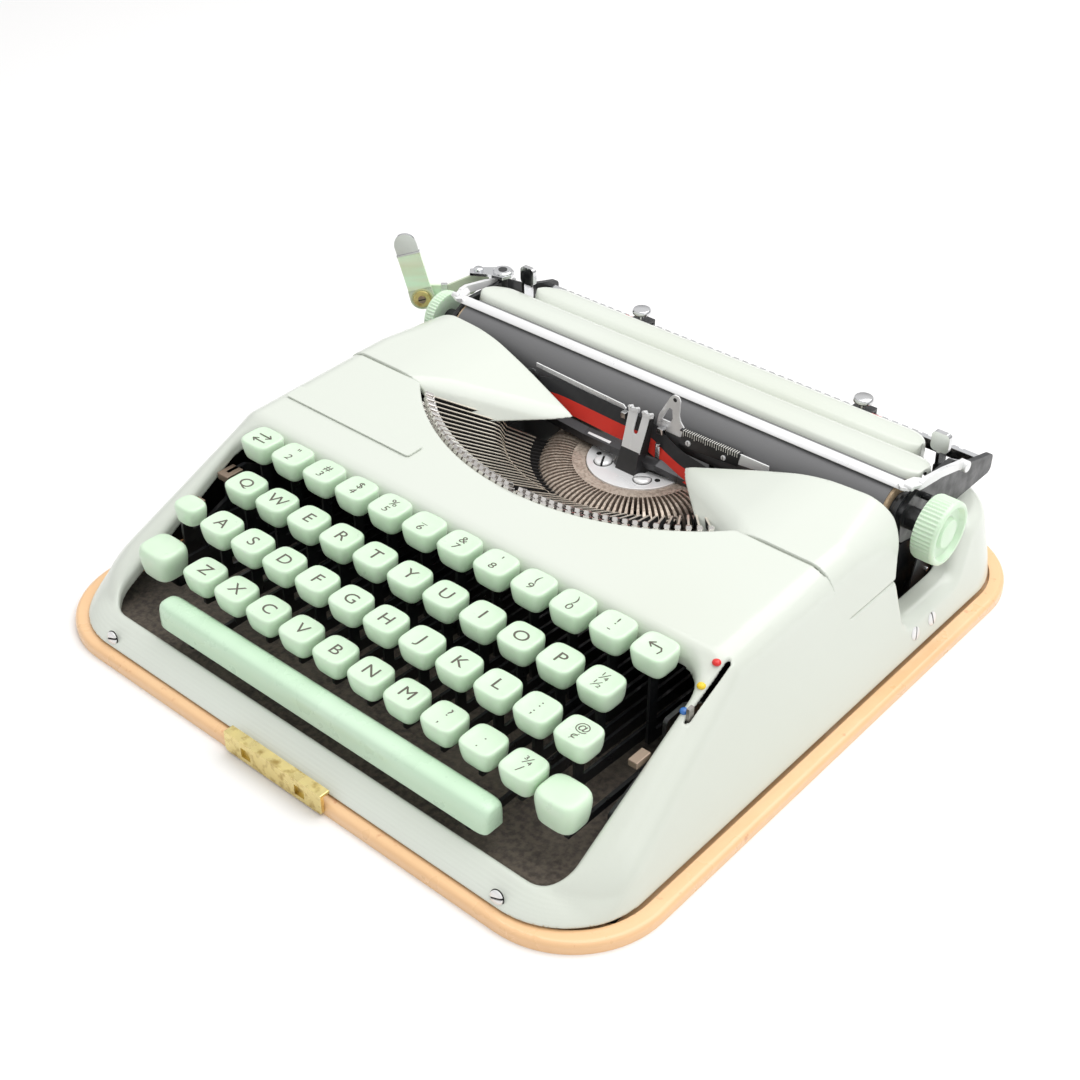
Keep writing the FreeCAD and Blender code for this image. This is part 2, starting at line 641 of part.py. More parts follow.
def spool_posts():
    """Spindles and shelves that carry the ribbon spools."""
    posts = []
    for side in (-1, 1):
        shelf = box(side * SPOOL_X - 18, side * SPOOL_X + 18, SPOOL_Y - 8, SPOOL_Y + 8, 39.6, 41.4)
        spindle = disc(V(side * SPOOL_X, SPOOL_Y, 41.0), 2.0, 20.5)
        leg = box(side * SPOOL_X - 4, side * SPOOL_X + 4, SPOOL_Y - 7, SPOOL_Y + 7, 22.0, 40.0)
        bridge = box(min(side * SPOOL_X, side * FRAME_X), max(side * SPOOL_X, side * FRAME_X),
                     SPOOL_Y - 7, SPOOL_Y + 7, 22.0, 24.0)
        posts.append(fused([shelf, spindle, leg, bridge]))
    return posts


def ribbon_vibrator():
    """Lifting fork: two upright blades in front of the ribbon, joined below it."""
    blades = [box(s * 9.5 - 1.5, s * 9.5 + 1.5, 64.3, 65.1, 42.0, 60.5) for s in (-1, 1)]
    bridge = box(-11.0, 11.0, 64.3, 65.1, 41.0, 44.0)
    stem = box(-3.0, 3.0, 64.3, 65.1, 34.0, 42.0)
    return fused(blades + [bridge, stem])


def card_holder():
    """Paper fingers beside the printing point and the graduated line scale."""
    right = slab("xz", [(12.0, 56.0), (20.0, 56.0), (21.5, 59.5), (18.5, 63.5), (19.0, 70.0), (15.0, 71.5),
                        (12.5, 62.0)], 65.35, 65.75, 0.8)
    window = slab("xz", [(13.9, 60.0), (17.8, 60.0), (16.6, 66.0)], 64, 67, 0.5)
    scale = slab("xz", [(17.5, 55.0), (52.0, 57.4), (52.0, 61.0), (17.5, 59.4)], 63.5, 65.2, 0.4)
    tip = slab("xz", [(52.0, 57.6), (66.0, 59.6), (66.0, 61.3), (52.0, 60.8)], 63.9, 64.9, 0.4)
    wire = slab("xz", [(-63.0, 59.4), (-13.0, 58.8), (-11.0, 57.0), (-10.0, 59.5), (-13.0, 60.8), (-63.0, 60.8)],
                65.35, 65.75, 0.4)
    return [right.cut(window), scale, tip, wire]


# ---------------------------------------------------------------- carriage
def carriage_rail():
    """Two fixed rails between the side plates."""
    rails = []
    for y in (100.0, 109.0):
        bar = box(-FRAME_X, FRAME_X, y, y + 3.0, 31.0, 38.0)
        rails.append(bar)
    return rails


POST_X = 50.0
POST_R = 2.2


def carriage_truck():
    """Low sledge on the rails, with two posts that guide the shifting carriage."""
    plate = box(-62.0, 62.0, 98.0, 114.0, TRUCK_Z, TRUCK_Z + 2.4)
    tongue = box(-60.0, 60.0, 103.4, 108.6, 34.0, TRUCK_Z)
    posts = [disc(V(s * POST_X, RAIL_Y + 1.5, TRUCK_Z), POST_R, 17.0) for s in (-1, 1)]
    return fused([plate, tongue] + posts)


def carriage_frame():
    """Cross bar and two end plates that carry the platen and everything on it."""
    bar = box(-END_PLATE_X, END_PLATE_X, 99.0, 114.0, CARRIAGE_LOW, CARRIAGE_LOW + 5.5)
    outline = [(74.0, 44.5), (84.0, CARRIAGE_LOW), (150.0, CARRIAGE_LOW), (150.0, 51.0), (128.0, 57.0),
               (112.0, 66.2), (84.0, 66.2), (72.0, 60.0)]
    plate = slab("yz", outline, END_PLATE_X, END_PLATE_X + END_PLATE_THICK, 3.0)
    bracket = box(108.0, END_PLATE_X, 128.0, 131.0, 43.0, 49.0)
    plates = [plate, mirrored(plate), bracket, mirrored(bracket)]
    frame = fused([bar] + plates)
    cuts = [disc(V(s * POST_X, RAIL_Y + 1.5, 30.0), POST_R + FIT, 30.0) for s in (-1, 1)]
    cuts.append(rod(V(-140, PLATEN_Y, PLATEN_Z), V(140, PLATEN_Y, PLATEN_Z), SHAFT_R + FIT))
    cuts.append(rod(V(-140, ROLLER_Y, ROLLER_Z), V(140, ROLLER_Y, ROLLER_Z), 1.2 + FIT))
    frame = frame.cut(group(cuts))
    pins = []
    for side in (-1, 1):
        pins.append(rod(V(side * END_PLATE_X, BAIL_PIVOT_Y, BAIL_PIVOT_Z),
                        V(side * 128.5, BAIL_PIVOT_Y, BAIL_PIVOT_Z), 1.5))
        pins.append(rod(V(side * 114.0, LEVER_PIVOT_Y, LEVER_PIVOT_Z),
                        V(side * END_PLATE_X, LEVER_PIVOT_Y, LEVER_PIVOT_Z), 1.5))
    stud = disc(RETURN_PIVOT - V(0, 0, 24.0), STUD_R, 24.0 + 1.4)
    return fused([frame] + pins + [stud])


STUD_R = 2.2
ROLLER_R = 2.6
ROLLER_Y = PLATEN_Y + (PLATEN_R + ROLLER_R + 0.35) * math.cos(math.radians(25))
ROLLER_Z = PLATEN_Z - (PLATEN_R + ROLLER_R + 0.35) * math.sin(math.radians(25))
BAIL_PIVOT_Y = 89.0
BAIL_PIVOT_Z = 60.5
LEVER_PIVOT_Y = 119.0
LEVER_PIVOT_Z = 51.0


def feed_roller():
    axle = rod(V(-124.0, ROLLER_Y, ROLLER_Z), V(124.0, ROLLER_Y, ROLLER_Z), 1.2)
    sleeves = [rod(V(x - 22.0, ROLLER_Y, ROLLER_Z), V(x + 22.0, ROLLER_Y, ROLLER_Z), ROLLER_R)
               for x in (-80.0, 0.0, 80.0)]
    return fused([axle] + sleeves)


def on_platen_axis(x0, x1, radius):
    return rod(V(x0, PLATEN_Y, PLATEN_Z), V(x1, PLATEN_Y, PLATEN_Z), radius)


def platen_sleeve():
    return on_platen_axis(-PLATEN_HALF, PLATEN_HALF, PLATEN_R).cut(
        on_platen_axis(-PLATEN_HALF - 1, PLATEN_HALF + 1, CORE_R))


def platen_core():
    tube = on_platen_axis(-PLATEN_HALF - 1.2, PLATEN_HALF + 1.2, CORE_R)
    rims = [on_platen_axis(s * PLATEN_HALF, s * (PLATEN_HALF + 1.2), PLATEN_R - 0.6) for s in (-1, 1)]
    return fused([tube] + rims).cut(on_platen_axis(-125, 125, SHAFT_R))


def platen_shaft():
    return on_platen_axis(-LEFT_KNOB_OUTER_X + 4.0, KNOB_OUTER_X - 4.0, SHAFT_R)


def platen_knob(side):
    """Fluted hand knob with a dished face and a raised centre; the left one is smaller."""
    radius = KNOB_R if side > 0 else LEFT_KNOB_R
    outer = KNOB_OUTER_X if side > 0 else LEFT_KNOB_OUTER_X
    knob = on_platen_axis(KNOB_INNER_X, outer, radius)
    face = on_platen_axis(outer - 2.6, outer + 1, radius - 2.4)
    boss = on_platen_axis(outer - 3.0, outer - 1.0, 6.0)
    flutes = []
    for i in range(48):
        angle = math.radians(7.5 * i)
        across = PLATEN_Y + radius * math.cos(angle) * 1.035
        height = PLATEN_Z + radius * math.sin(angle) * 1.035
        flutes.append(rod(V(KNOB_INNER_X - 1, across, height), V(outer - 2.0, across, height), 0.75))
    knob = knob.cut(face).fuse(boss).cut(group(flutes))
    knob = knob.cut(on_platen_axis(100, outer - 4.0, SHAFT_R))
    return knob if side > 0 else mirrored(knob)


def line_ratchet():
    """Toothed wheel that the return lever steps round for line spacing."""
    teeth = 30
    points = []
    for i in range(teeth):
        turn = 2 * math.pi * i / teeth
        step = 2 * math.pi / teeth
        points.append((PLATEN_Y + 11.0 * math.cos(turn), PLATEN_Z + 11.0 * math.sin(turn)))
        points.append((PLATEN_Y + 9.6 * math.cos(turn + step * 0.9), PLATEN_Z + 9.6 * math.sin(turn + step * 0.9)))
    wheel = slab("yz", points, -121.2, -118.4)
    return wheel.cut(on_platen_axis(-125, -110, SHAFT_R))


def paper_table():
    section = [(87.0, 66.9), (107.0, 64.8), (107.4, 66.2), (87.0, 68.6)]
    table = slab("yz", section, -121.0, 121.0)
    apron = slab("yz", [(105.2, 64.0), (107.2, 64.0), (107.2, 66.3), (105.2, 66.4)], -118.0, 118.0)
    feet = [box(s * 70 - 3, s * 70 + 3, 100.0, 103.0, CARRIAGE_LOW + 5.5, 65.6) for s in (-1, 1)]
    return fused([table, apron] + feet)


def carriage_cover():
    section = [(109.0, 60.5), (111.0, 59.8), (127.0, 55.5), (129.0, 58.0), (126.5, 60.0, 1.5), (111.0, 64.6, 1.5),
               (109.0, 64.2)]
    cover = slab("yz", section, -107.0, 107.0)
    feet = [box(s * 60 - 3, s * 60 + 3, 110.0, 113.0, CARRIAGE_LOW + 5.5, 61.0) for s in (-1, 1)]
    return fused([cover] + feet)


def margin_rack():
    """Toothed bar along the back of the carriage for the margin stops."""
    bar = box(-END_PLATE_X, END_PLATE_X, RACK_Y - 1.5, RACK_Y + 1.5, RACK_Z - 3.5, RACK_Z + 1.5)
    notches = [box(-1.0, 1.0, RACK_Y + 0.7, RACK_Y + 3, RACK_Z - 5, RACK_Z + 3).translated(V(5.08 * i, 0, 0))
               for i in range(-22, 23)]
    return bar.cut(group(notches))


def margin_stop(x):
    """Sliding stop on the rack with a round press button."""
    shoe = box(x - 5.0, x + 5.0, RACK_Y - 3.6, RACK_Y + 3.6, RACK_Z - 5.6, RACK_Z + 2.6)
    channel = box(x - 9.0, x + 9.0, RACK_Y - 1.8, RACK_Y + 1.8, RACK_Z - 3.9, RACK_Z + 1.9)
    button = disc(V(x, RACK_Y + 1.5, RACK_Z + 2.6), 1.6, 2.0).fuse(disc(V(x, RACK_Y + 1.5, RACK_Z + 4.4), 4.0, 1.8))
    return fused([shoe.cut(channel), button])


def paper_bail():
    """Bright strip over the platen on two swinging arms."""
    strip = slab("yz", [(75.0, 68.3), (82.0, 68.9), (81.9, 69.8), (74.9, 69.2)], -128.0, 128.0)
    arm = [(BAIL_PIVOT_Y + 3.5, BAIL_PIVOT_Z - 3.5), (BAIL_PIVOT_Y + 3.5, BAIL_PIVOT_Z + 4.0), (83.0, 69.8),
           (75.0, 69.2), (75.0, 66.5), (BAIL_PIVOT_Y - 3.5, BAIL_PIVOT_Z - 3.5)]
    arms = []
    for side in (-1, 1):
        plate = slab("yz", arm, 125.6, 127.6, 1.5)
        plate = plate.cut(rod(V(120, BAIL_PIVOT_Y, BAIL_PIVOT_Z), V(130, BAIL_PIVOT_Y, BAIL_PIVOT_Z), 1.5 + FIT))
        arms.append(plate if side > 0 else mirrored(plate))
    return fused([strip] + arms)


def side_lever(side):
    """Upright finger lever with a broad tab, on a pin inside the end plate."""
    inner = 111.5 if side > 0 else 108.5
    stem = slab("yz", [(LEVER_PIVOT_Y - 3.0, LEVER_PIVOT_Z - 3.0), (LEVER_PIVOT_Y + 3.0, LEVER_PIVOT_Z - 3.0),
                       (LEVER_PIVOT_Y + 3.0, 66.0), (LEVER_PIVOT_Y - 4.0, 66.0)], 114.6, 116.2, 1.5)
    tab = slab("xz", [(inner, 65.0), (inner + 8.4, 65.0), (inner + 8.4, 74.0), (inner, 74.0)], 115.0, 117.4, 2.2)
    lever = fused([stem, tab]).cut(rod(V(110, LEVER_PIVOT_Y, LEVER_PIVOT_Z), V(120, LEVER_PIVOT_Y, LEVER_PIVOT_Z),
                                       1.5 + FIT))
    return lever if side > 0 else mirrored(lever)


def turned_at_finger(part):
    """Parts drawn facing the typist, turned to the finger's own direction at its pivot."""
    turned = part.copy()
    turned.rotate(ORIGIN, V(0, 0, 1), FINGER_TURN_DEG)
    return turned.translated(FINGER_PIVOT)


def return_lever():
    """Carriage return arm on an upright stud, reaching out to the finger's pivot."""
    z = RETURN_PIVOT.z
    at = FINGER_PIVOT
    hub = disc(RETURN_PIVOT - V(0, 0, 2.0), 5.0, 2.4)
    plan = [(RETURN_PIVOT.x + 3.0, RETURN_PIVOT.y - 5.0), (RETURN_PIVOT.x + 1.0, RETURN_PIVOT.y + 5.0),
            (at.x - 1.5, at.y + 10.0), (at.x - 6.0, at.y + 1.5), (at.x - 3.8, at.y - 1.0), (at.x + 2.3, at.y + 4.0)]
    arm = slab("xy", plan, z - 2.0, z - 0.2, 0.8)
    drop = turned_at_finger(box(-3.5, 3.5, 2.0, 4.0, 0, z - 0.4 - at.z))
    boss = turned_at_finger(rod(V(0, 2.0, 0), V(0, 4.0, 0), 5.0))
    pin = turned_at_finger(rod(V(0, -3.6, 0), V(0, 2.5, 0), 2.0))
    bore = disc(RETURN_PIVOT - V(0, 0, 6.0), STUD_R + FIT, 12.0)
    return fused([hub, arm, drop, boss, pin]).cut(bore)


def lever_finger():
    """Folding finger piece that stands on the end of the return arm."""
    blade = slab("xz", [(-5.4, -5.4, 5.2), (5.4, -5.4, 5.2), (5.4, FINGER_LENGTH, 5.2), (-5.4, FINGER_LENGTH, 5.2)],
                 -0.8, 0.8)
    pivot_hole = rod(V(0, -4, 0), V(0, 4, 0), 2.0 + FIT)
    blade = blade.cut(pivot_hole)
    blade.rotate(ORIGIN, V(0, 1, 0), -FINGER_LEAN_DEG)
    return turned_at_finger(blade.translated(V(0, -1.6, 0)))


# ---------------------------------------------------------------- hidden works
def bell():
    gong = Part.makeSphere(13.0, V(-88.0, 128.0, 14.0)).common(box(-110, -60, 100, 148, 14.0, 40.0))
    hollow = Part.makeSphere(11.6, V(-88.0, 128.0, 14.0))
    post = disc(V(-88.0, 128.0, 1.5), 2.0, 25.6)
    return fused([gong.cut(hollow), post])


def spring_drum():
    at = V(-40.0, 128.0, 12.0)
    return disc(at, 14.0, 9.0).cut(disc(at - V(0, 0, 1), 2.0 + FIT, 12))


def drum_post():
    return disc(V(-40.0, 128.0, 1.5), 2.0, 21.5)


WHEEL_AT = V(0.0, 120.0, 24.0)


def escape_wheel():
    """Toothed escapement wheel under its feed pinion, on an upright arbor."""
    teeth = 24
    points = []
    for i in range(teeth):
        turn = 2 * math.pi * i / teeth
        step = 2 * math.pi / teeth
        points.append((WHEEL_AT.x + 10.5 * math.cos(turn), WHEEL_AT.y + 10.5 * math.sin(turn)))
        points.append((WHEEL_AT.x + 8.8 * math.cos(turn + step * 0.8), WHEEL_AT.y + 8.8 * math.sin(turn + step * 0.8)))
    wheel = slab("xy", points, WHEEL_AT.z, WHEEL_AT.z + 1.6)
    pinion = disc(WHEEL_AT, 4.0, 7.0)
    return fused([wheel, pinion]).cut(disc(WHEEL_AT - V(0, 0, 2), 1.5 + FIT, 20))


def wheel_post():
    return disc(V(WHEEL_AT.x, WHEEL_AT.y, 1.5), 1.5, 31.0)


def colour_selector():
    """Small lever whose tip stands out of the slot beside the coloured dots."""
    return box(SLOT_X - 0.7, SLOT_X + 0.7, -72.2, -69.4, 44.0, border_z(-71.0) + 3.2)


# ---------------------------------------------------------------- the whole machine
def build_nodes():
    nodes = {
        "base_tray": base_tray(),
        "tray_latch": tray_latch(),
        "body_shell": body_shell(),
        "ribbon_cover": ribbon_cover(),
        "felt_mat": felt_mat(),
        "side_frames": group(side_frames() + spool_posts() + [shift_lock_pin(), drum_post(), wheel_post()]),
        "fulcrum_shaft": fulcrum_shaft(),
        "type_segment": type_segment(),
        "segment_plate": segment_plate(),
        "typebars": group([typebar(s) for s in typebar_angles() if abs(s) > 0.01]),
        "typebar_h": typebar(0.0),
        "type_rest": type_rest(),
        "type_guide": type_guide(),
        "slotted_screws": group([s["screw"] for s in cover_screw_sites() + plate_screws()]),
        "nameplate": nameplate(),
        "selector_dots": group(selector_dots()),
        "carriage_rail": group(carriage_rail()),
        "bell": bell(),
        "ribbon": ribbon(),
        "card_holder": group(card_holder()),
        "space_bar": space_bar(),
        "space_bar_arms": group(space_bar_arms()),
        "shift_key_caps": group(shift_key_caps()),
        "shift_yoke": group(shift_yoke()),
        "shift_lock_key": shift_lock_key(),
        "colour_selector": colour_selector(),
        "ribbon_vibrator": ribbon_vibrator(),
        "left_ribbon_spool": ribbon_spool(-1),
        "right_ribbon_spool": ribbon_spool(1),
        "spring_drum": spring_drum(),
        "escape_wheel": escape_wheel(),
        "carriage_truck": carriage_truck(),
        "carriage_frame": carriage_frame(),
        "paper_table": paper_table(),
        "carriage_cover": carriage_cover(),
        "margin_rack": margin_rack(),
        "left_margin_stop": margin_stop(-62.9),
        "right_margin_stop": margin_stop(62.9),
        "platen_sleeve": platen_sleeve(),
        "platen_core": platen_core(),
        "platen_shaft": platen_shaft(),
        "left_knob": platen_knob(-1),
        "right_knob": platen_knob(1),
        "line_ratchet": line_ratchet(),
        "feed_roller": feed_roller(),
        "paper_bail": paper_bail(),
        "paper_release_lever": side_lever(1),
        "carriage_release_lever": side_lever(-1),
        "return_lever": return_lever(),
        "lever_finger": lever_finger(),
    }
    for row in KEY_ROWS:
        name = row[0]
        places = key_places(row)
        if name == "home_row":
            x, y, top = places.pop(KEY_H_INDEX)
            nodes["key_h_cap"] = key_cap(x, y, top)
            nodes["key_h_lever"] = key_lever(x, y, top - CAP_HEIGHT)
        nodes[name + "_caps"] = group([key_cap(x, y, top) for x, y, top in places])
        nodes[name + "_levers"] = group([key_lever(x, y, top - CAP_HEIGHT) for x, y, top in places])
    return nodes


os.makedirs("parts", exist_ok=True)
for node, shape in build_nodes().items():
    shape.exportStep("parts/" + node + ".step")
    print(node, "solids", len(shape.Solids), "valid", shape.isValid(), "volume", round(shape.Volume, 1))
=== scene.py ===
"""Looks of a flat portable typewriter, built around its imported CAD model.

Lengths in the tables below are millimetres in the model's own frame: +X to the typist's
right, +Y away from the typist, +Z up. MM turns them into metres.
"""
import json
import math

import bmesh
import bpy
import numpy as np
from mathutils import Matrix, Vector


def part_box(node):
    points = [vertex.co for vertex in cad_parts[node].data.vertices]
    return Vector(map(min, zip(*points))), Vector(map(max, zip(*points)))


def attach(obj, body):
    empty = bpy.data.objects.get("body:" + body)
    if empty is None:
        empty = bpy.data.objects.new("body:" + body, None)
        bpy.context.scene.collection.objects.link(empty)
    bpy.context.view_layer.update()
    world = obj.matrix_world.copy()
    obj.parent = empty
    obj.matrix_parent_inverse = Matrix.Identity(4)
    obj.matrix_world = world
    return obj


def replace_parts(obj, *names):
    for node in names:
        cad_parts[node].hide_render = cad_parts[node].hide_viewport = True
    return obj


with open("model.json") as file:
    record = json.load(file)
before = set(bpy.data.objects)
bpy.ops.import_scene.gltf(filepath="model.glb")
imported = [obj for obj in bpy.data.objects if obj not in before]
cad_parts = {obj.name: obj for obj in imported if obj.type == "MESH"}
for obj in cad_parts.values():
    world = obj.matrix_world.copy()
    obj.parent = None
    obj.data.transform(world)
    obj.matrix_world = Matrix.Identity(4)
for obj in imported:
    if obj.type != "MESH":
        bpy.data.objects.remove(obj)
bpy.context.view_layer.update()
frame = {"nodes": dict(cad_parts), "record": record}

import openvdb
from mathutils import Vector

MM = 0.001
NODES = frame["nodes"]


# ---------------------------------------------------------------- signed distance modelling
class Samples:
    """A box of sample points. A shape is a signed distance on it, negative inside."""

    def __init__(self, low, high, step):
        axes = [np.arange(a, b + step, step, dtype=np.float32) for a, b in zip(low, high)]
        self.x, self.y, self.z = np.meshgrid(*axes, indexing="ij", sparse=True)
        self.low = np.array(low, float)
        self.step = step

    def read(self, field, points):
        """The field between its samples, at points in millimetres."""
        at = (points - self.low) / self.step
        cell = np.clip(np.floor(at).astype(int), 0, np.array(field.shape) - 2)
        part = at - cell
        value = np.zeros(len(points))
        for corner in np.ndindex(2, 2, 2):
            weight = np.prod(np.where(corner, part, 1 - part), axis=1)
            value += weight * field[tuple((cell + corner).T)]
        return value

    def slope(self, field, points):
        """Unit direction in which the field grows."""
        reach = 0.7 * self.step
        parts = []
        for axis in np.eye(3) * reach:
            parts.append(self.read(field, points + axis) - self.read(field, points - axis))
        grown = np.stack(parts, axis=1)
        return grown / np.maximum(np.linalg.norm(grown, axis=1, keepdims=True), 1e-9)

    def surface(self, name, field, adaptivity=0.0):
        """A mesh object of the field's zero surface."""
        band = 3 * self.step
        grid = openvdb.FloatGrid(band)
        grid.copyFromArray(np.clip(field, -band, band))
        points, triangles, quads = grid.convertToPolygons(0.0, adaptivity)
        points = points.astype(float) * self.step + self.low
        for _ in range(3):
            points -= self.read(field, points)[:, None] * self.slope(field, points)
        normals = self.slope(field, points)
        faces = triangles.tolist() + quads.tolist()
        mesh = bpy.data.meshes.new(name)
        mesh.from_pydata((points * MM).tolist(), [], faces)
        mesh.update()
        mesh.shade_smooth()
        mesh.normals_split_custom_set_from_vertices(normals.tolist())
        obj = bpy.data.objects.new(name, mesh)
        bpy.context.scene.collection.objects.link(obj)
        return obj


def both(a, b, radius=0.0):
    """Where both shapes are, with the edge between them rounded."""
    if np.isscalar(radius) and radius == 0.0:
        return np.maximum(a, b)
    corner = np.hypot(np.maximum(a + radius, 0), np.maximum(b + radius, 0))
    return np.minimum(np.maximum(a, b), -radius) + corner


def without(a, b, radius=0.0):
    return both(a, -b, radius)


def rounded_rectangle(u, v, half_u, half_v, radius):
    du = np.abs(u) - half_u + radius
    dv = np.abs(v) - half_v + radius
    return np.hypot(np.maximum(du, 0), np.maximum(dv, 0)) + np.minimum(np.maximum(du, dv), 0) - radius


def rounded_outline(corners):
    """The points of a closed outline whose corners (u, v, radius) are arcs."""
    points = []
    for i, corner in enumerate(corners):
        at = Vector(corner[:2])
        if len(corner) == 2:
            points.append(tuple(at))
            continue
        back = (Vector(corners[i - 1][:2]) - at).normalized()
        ahead = (Vector(corners[(i + 1) % len(corners)][:2]) - at).normalized()
        half = back.angle(ahead) / 2
        centre = at + (back + ahead).normalized() * (corner[2] / math.sin(half))
        start = at + back * (corner[2] / math.tan(half)) - centre
        sweep = math.pi - 2 * half
        turn = math.copysign(1, back.x * ahead.y - back.y * ahead.x) * -1
        steps = 10
        for k in range(steps + 1):
            angle = turn * sweep * k / steps
            points.append((centre.x + start.x * math.cos(angle) - start.y * math.sin(angle),
                           centre.y + start.x * math.sin(angle) + start.y * math.cos(angle)))
    return points


def outline_distance(u, v, corners):
    """Signed distance in a plane to a closed outline."""
    points = rounded_outline(corners)
    best = np.float32(1e6)
    inside = np.zeros(np.broadcast(u, v).shape, bool)
    for (u0, v0), (u1, v1) in zip(points, points[1:] + points[:1]):
        eu, ev = u1 - u0, v1 - v0
        if eu * eu + ev * ev < 1e-12:
            continue
        along = np.clip(((u - u0) * eu + (v - v0) * ev) / (eu * eu + ev * ev), 0, 1)
        best = np.minimum(best, np.hypot(u - u0 - along * eu, v - v0 - along * ev))
        if ev:
            inside ^= ((v0 > v) != (v1 > v)) & (u < eu * (v - v0) / ev + u0)
    return np.where(inside, -best, best).astype(np.float32)


def half_space(s, point, normal):
    """Everything behind the plane through point."""
    n = Vector(normal).normalized()
    return (s.x - point[0]) * n.x + (s.y - point[1]) * n.y + (s.z - point[2]) * n.z


# ---------------------------------------------------------------- the body shell
WALL = 2.0
LEVELS = {                         # outside of the body at three heights
    "z": (5.5, 13.0, 72.0),
    "half": (144.5, 142.2, 128.2),
    "front": (-152.0, -144.0, -136.0),
    "rear": (150.0, 148.0, 142.0),
    "corner": (36.0, 31.0, 24.0),
}
SEAM_Y = 12.6
BASE_Z = 5.5
CROWN_PROFILE = [                  # y, z, corner radius: the upper side, run on past the seam
    (-220, -20), (-220, 13.0), (-138.0, 13.0, 5), (-57.0, 59.6, 6), (-50.0, 64.3, 10), (220, 73.4),
    (220, -20),
]
SEAM_PROFILE = [                   # what the ribbon cover and the notch below the knobs take away
    (-260, -60), (-260, 120), (SEAM_Y, 120), (SEAM_Y, 67.3), (20.5, 42.0, 6.7), (56.0, 42.0, 3),
    (59.0, 20.0, 4),
    (98.0, 20.0, 9), (113.0, 38.0, 9), (260, 38.0), (260, -60),
]


def tapering_block(s):
    level = {key: np.interp(s.z, LEVELS["z"], values).astype(np.float32) for key, values in LEVELS.items()}
    middle = (level["front"] + level["rear"]) / 2
    depth = (level["rear"] - level["front"]) / 2
    return rounded_rectangle(s.x, s.y - middle, level["half"], depth, level["corner"]) * np.float32(0.973)


def keyboard_well(s):
    return rounded_rectangle(s.x, s.y + 96.25, 123.0, 41.75, 12.0)


def type_basket(s):
    return np.hypot(s.x, s.y - 95.6) - np.float32(118.9)


def body_shell():
    s = Samples((-148, -155.5, 3), (148, 153.5, 72), 0.8)
    crown = both(tapering_block(s), outline_distance(s.y, s.z, CROWN_PROFILE), 9.0)
    edge = np.clip((s.y - 50) / 10, 0, 1) * 5.0 + 0.3
    solid = both(crown, outline_distance(s.y, s.z, SEAM_PROFILE), edge)
    well = keyboard_well(s)
    basket = type_basket(s)
    bay = both(rounded_rectangle(s.x, s.y - 54.0, 126.0, 58.0, 4.0), SEAM_Y - s.y)
    solid = without(solid, well, 3.0)
    solid = without(solid, basket, 1.2)
    solid = without(solid, bay, 0.3)
    shell = np.abs(solid + WALL / 2) - WALL / 2
    reach = np.minimum(np.minimum(well, basket), bay)
    depth = crown + 6.0
    shell = without(shell, both(reach - 3.2, depth))
    seam = both(both(SEAM_Y + 0.1 - s.y, 40.0 - s.z), np.abs(s.x) - 127.0)
    shell = without(shell, seam)
    shell = both(shell, BASE_Z - s.z, 0.5)
    shell = without(shell, rounded_rectangle(s.x - 127.3, s.y + 60.75, 0.8, 12.75, 0.8))
    obj = s.surface("shell_body", shell, 0.01)
    ride(paint(obj, FINISHES["shell_paint"]), "machine", "shell_paint", "body_shell")
    paint_inside_shade(obj, INSIDE_SHADE, s, solid)


COVER_REAR_Y = 66.2
WING_FACE_NORMAL = (-0.543, -0.554, 0.631)
COVER_PROFILE = [(-20, 20), (-20, 90), (COVER_REAR_Y + 0.3, 90), (COVER_REAR_Y, 66), (65.6, 62.5, 8),
                 (58.6, 52.0, 22),
                 (55.5, 42.3, 2), (55, 20)]


def ribbon_cover():
    """Left and right halves of the cover, each with its pointed wing beside the basket."""
    halves = []
    for side in (-1, 1):
        low, high = (26, 10, 39), (138, 70, 71)
        if side < 0:
            low, high = (-138, 10, 39), (-26, 70, 71)
        s = Samples(low, high, 0.6)
        s.x = s.x * side
        deck = half_space(s, (0, SEAM_Y, 67.3), (0, -0.02, 1))
        wing = half_space(s, (28.8, 53.8, 51.0), (-0.2817, -0.0173, 1))
        face = half_space(s, (28.8, 53.8, 51.0), WING_FACE_NORMAL)
        rear = half_space(s, (28.8, 53.8, 51.0), (-0.190, 1, 0))
        back = half_space(s, (0, COVER_REAR_Y, 66.0), (0, 1, 0.06))
        fall = outline_distance(s.y, s.z, COVER_PROFILE)
        block = tapering_block(s)
        swell = np.clip((s.y - 30) / 36, 0, 1) * 9 + 9
        outside = both(both(block, deck, swell), both(wing, face, 3.0), 3.0)
        hollow = outside + WALL
        low_edge = np.maximum(42.3 - s.z, np.minimum(50.6 - s.z, 117.0 - s.x))
        front = np.maximum(SEAM_Y + 0.35 - s.y, -1e3)
        solid = both(both(outside, both(rear, back, 8.0), 1.5), fall, 1.5)
        solid = np.maximum(np.maximum(solid, front), low_edge)
        shell = without(solid, hollow)
        s.x = s.x * side
        name = "left_cover_shell" if side < 0 else "right_cover_shell"
        half = s.surface(name, shell, 0.01)
        ride(paint(half, FINISHES["shell_paint"]), "machine", "shell_paint")
        paint_inside_shade(half, INSIDE_SHADE, s, solid)
        halves.append(half)
    return halves


# ---------------------------------------------------------------- materials
def srgb(r, g, b):
    """A colour given as 0 to 255 screen values, as linear light."""
    return tuple(((c / 255 + 0.055) / 1.055) ** 2.4 if c > 10 else c / 255 / 12.92 for c in (r, g,
                                                                                             b)) + (1.0,)


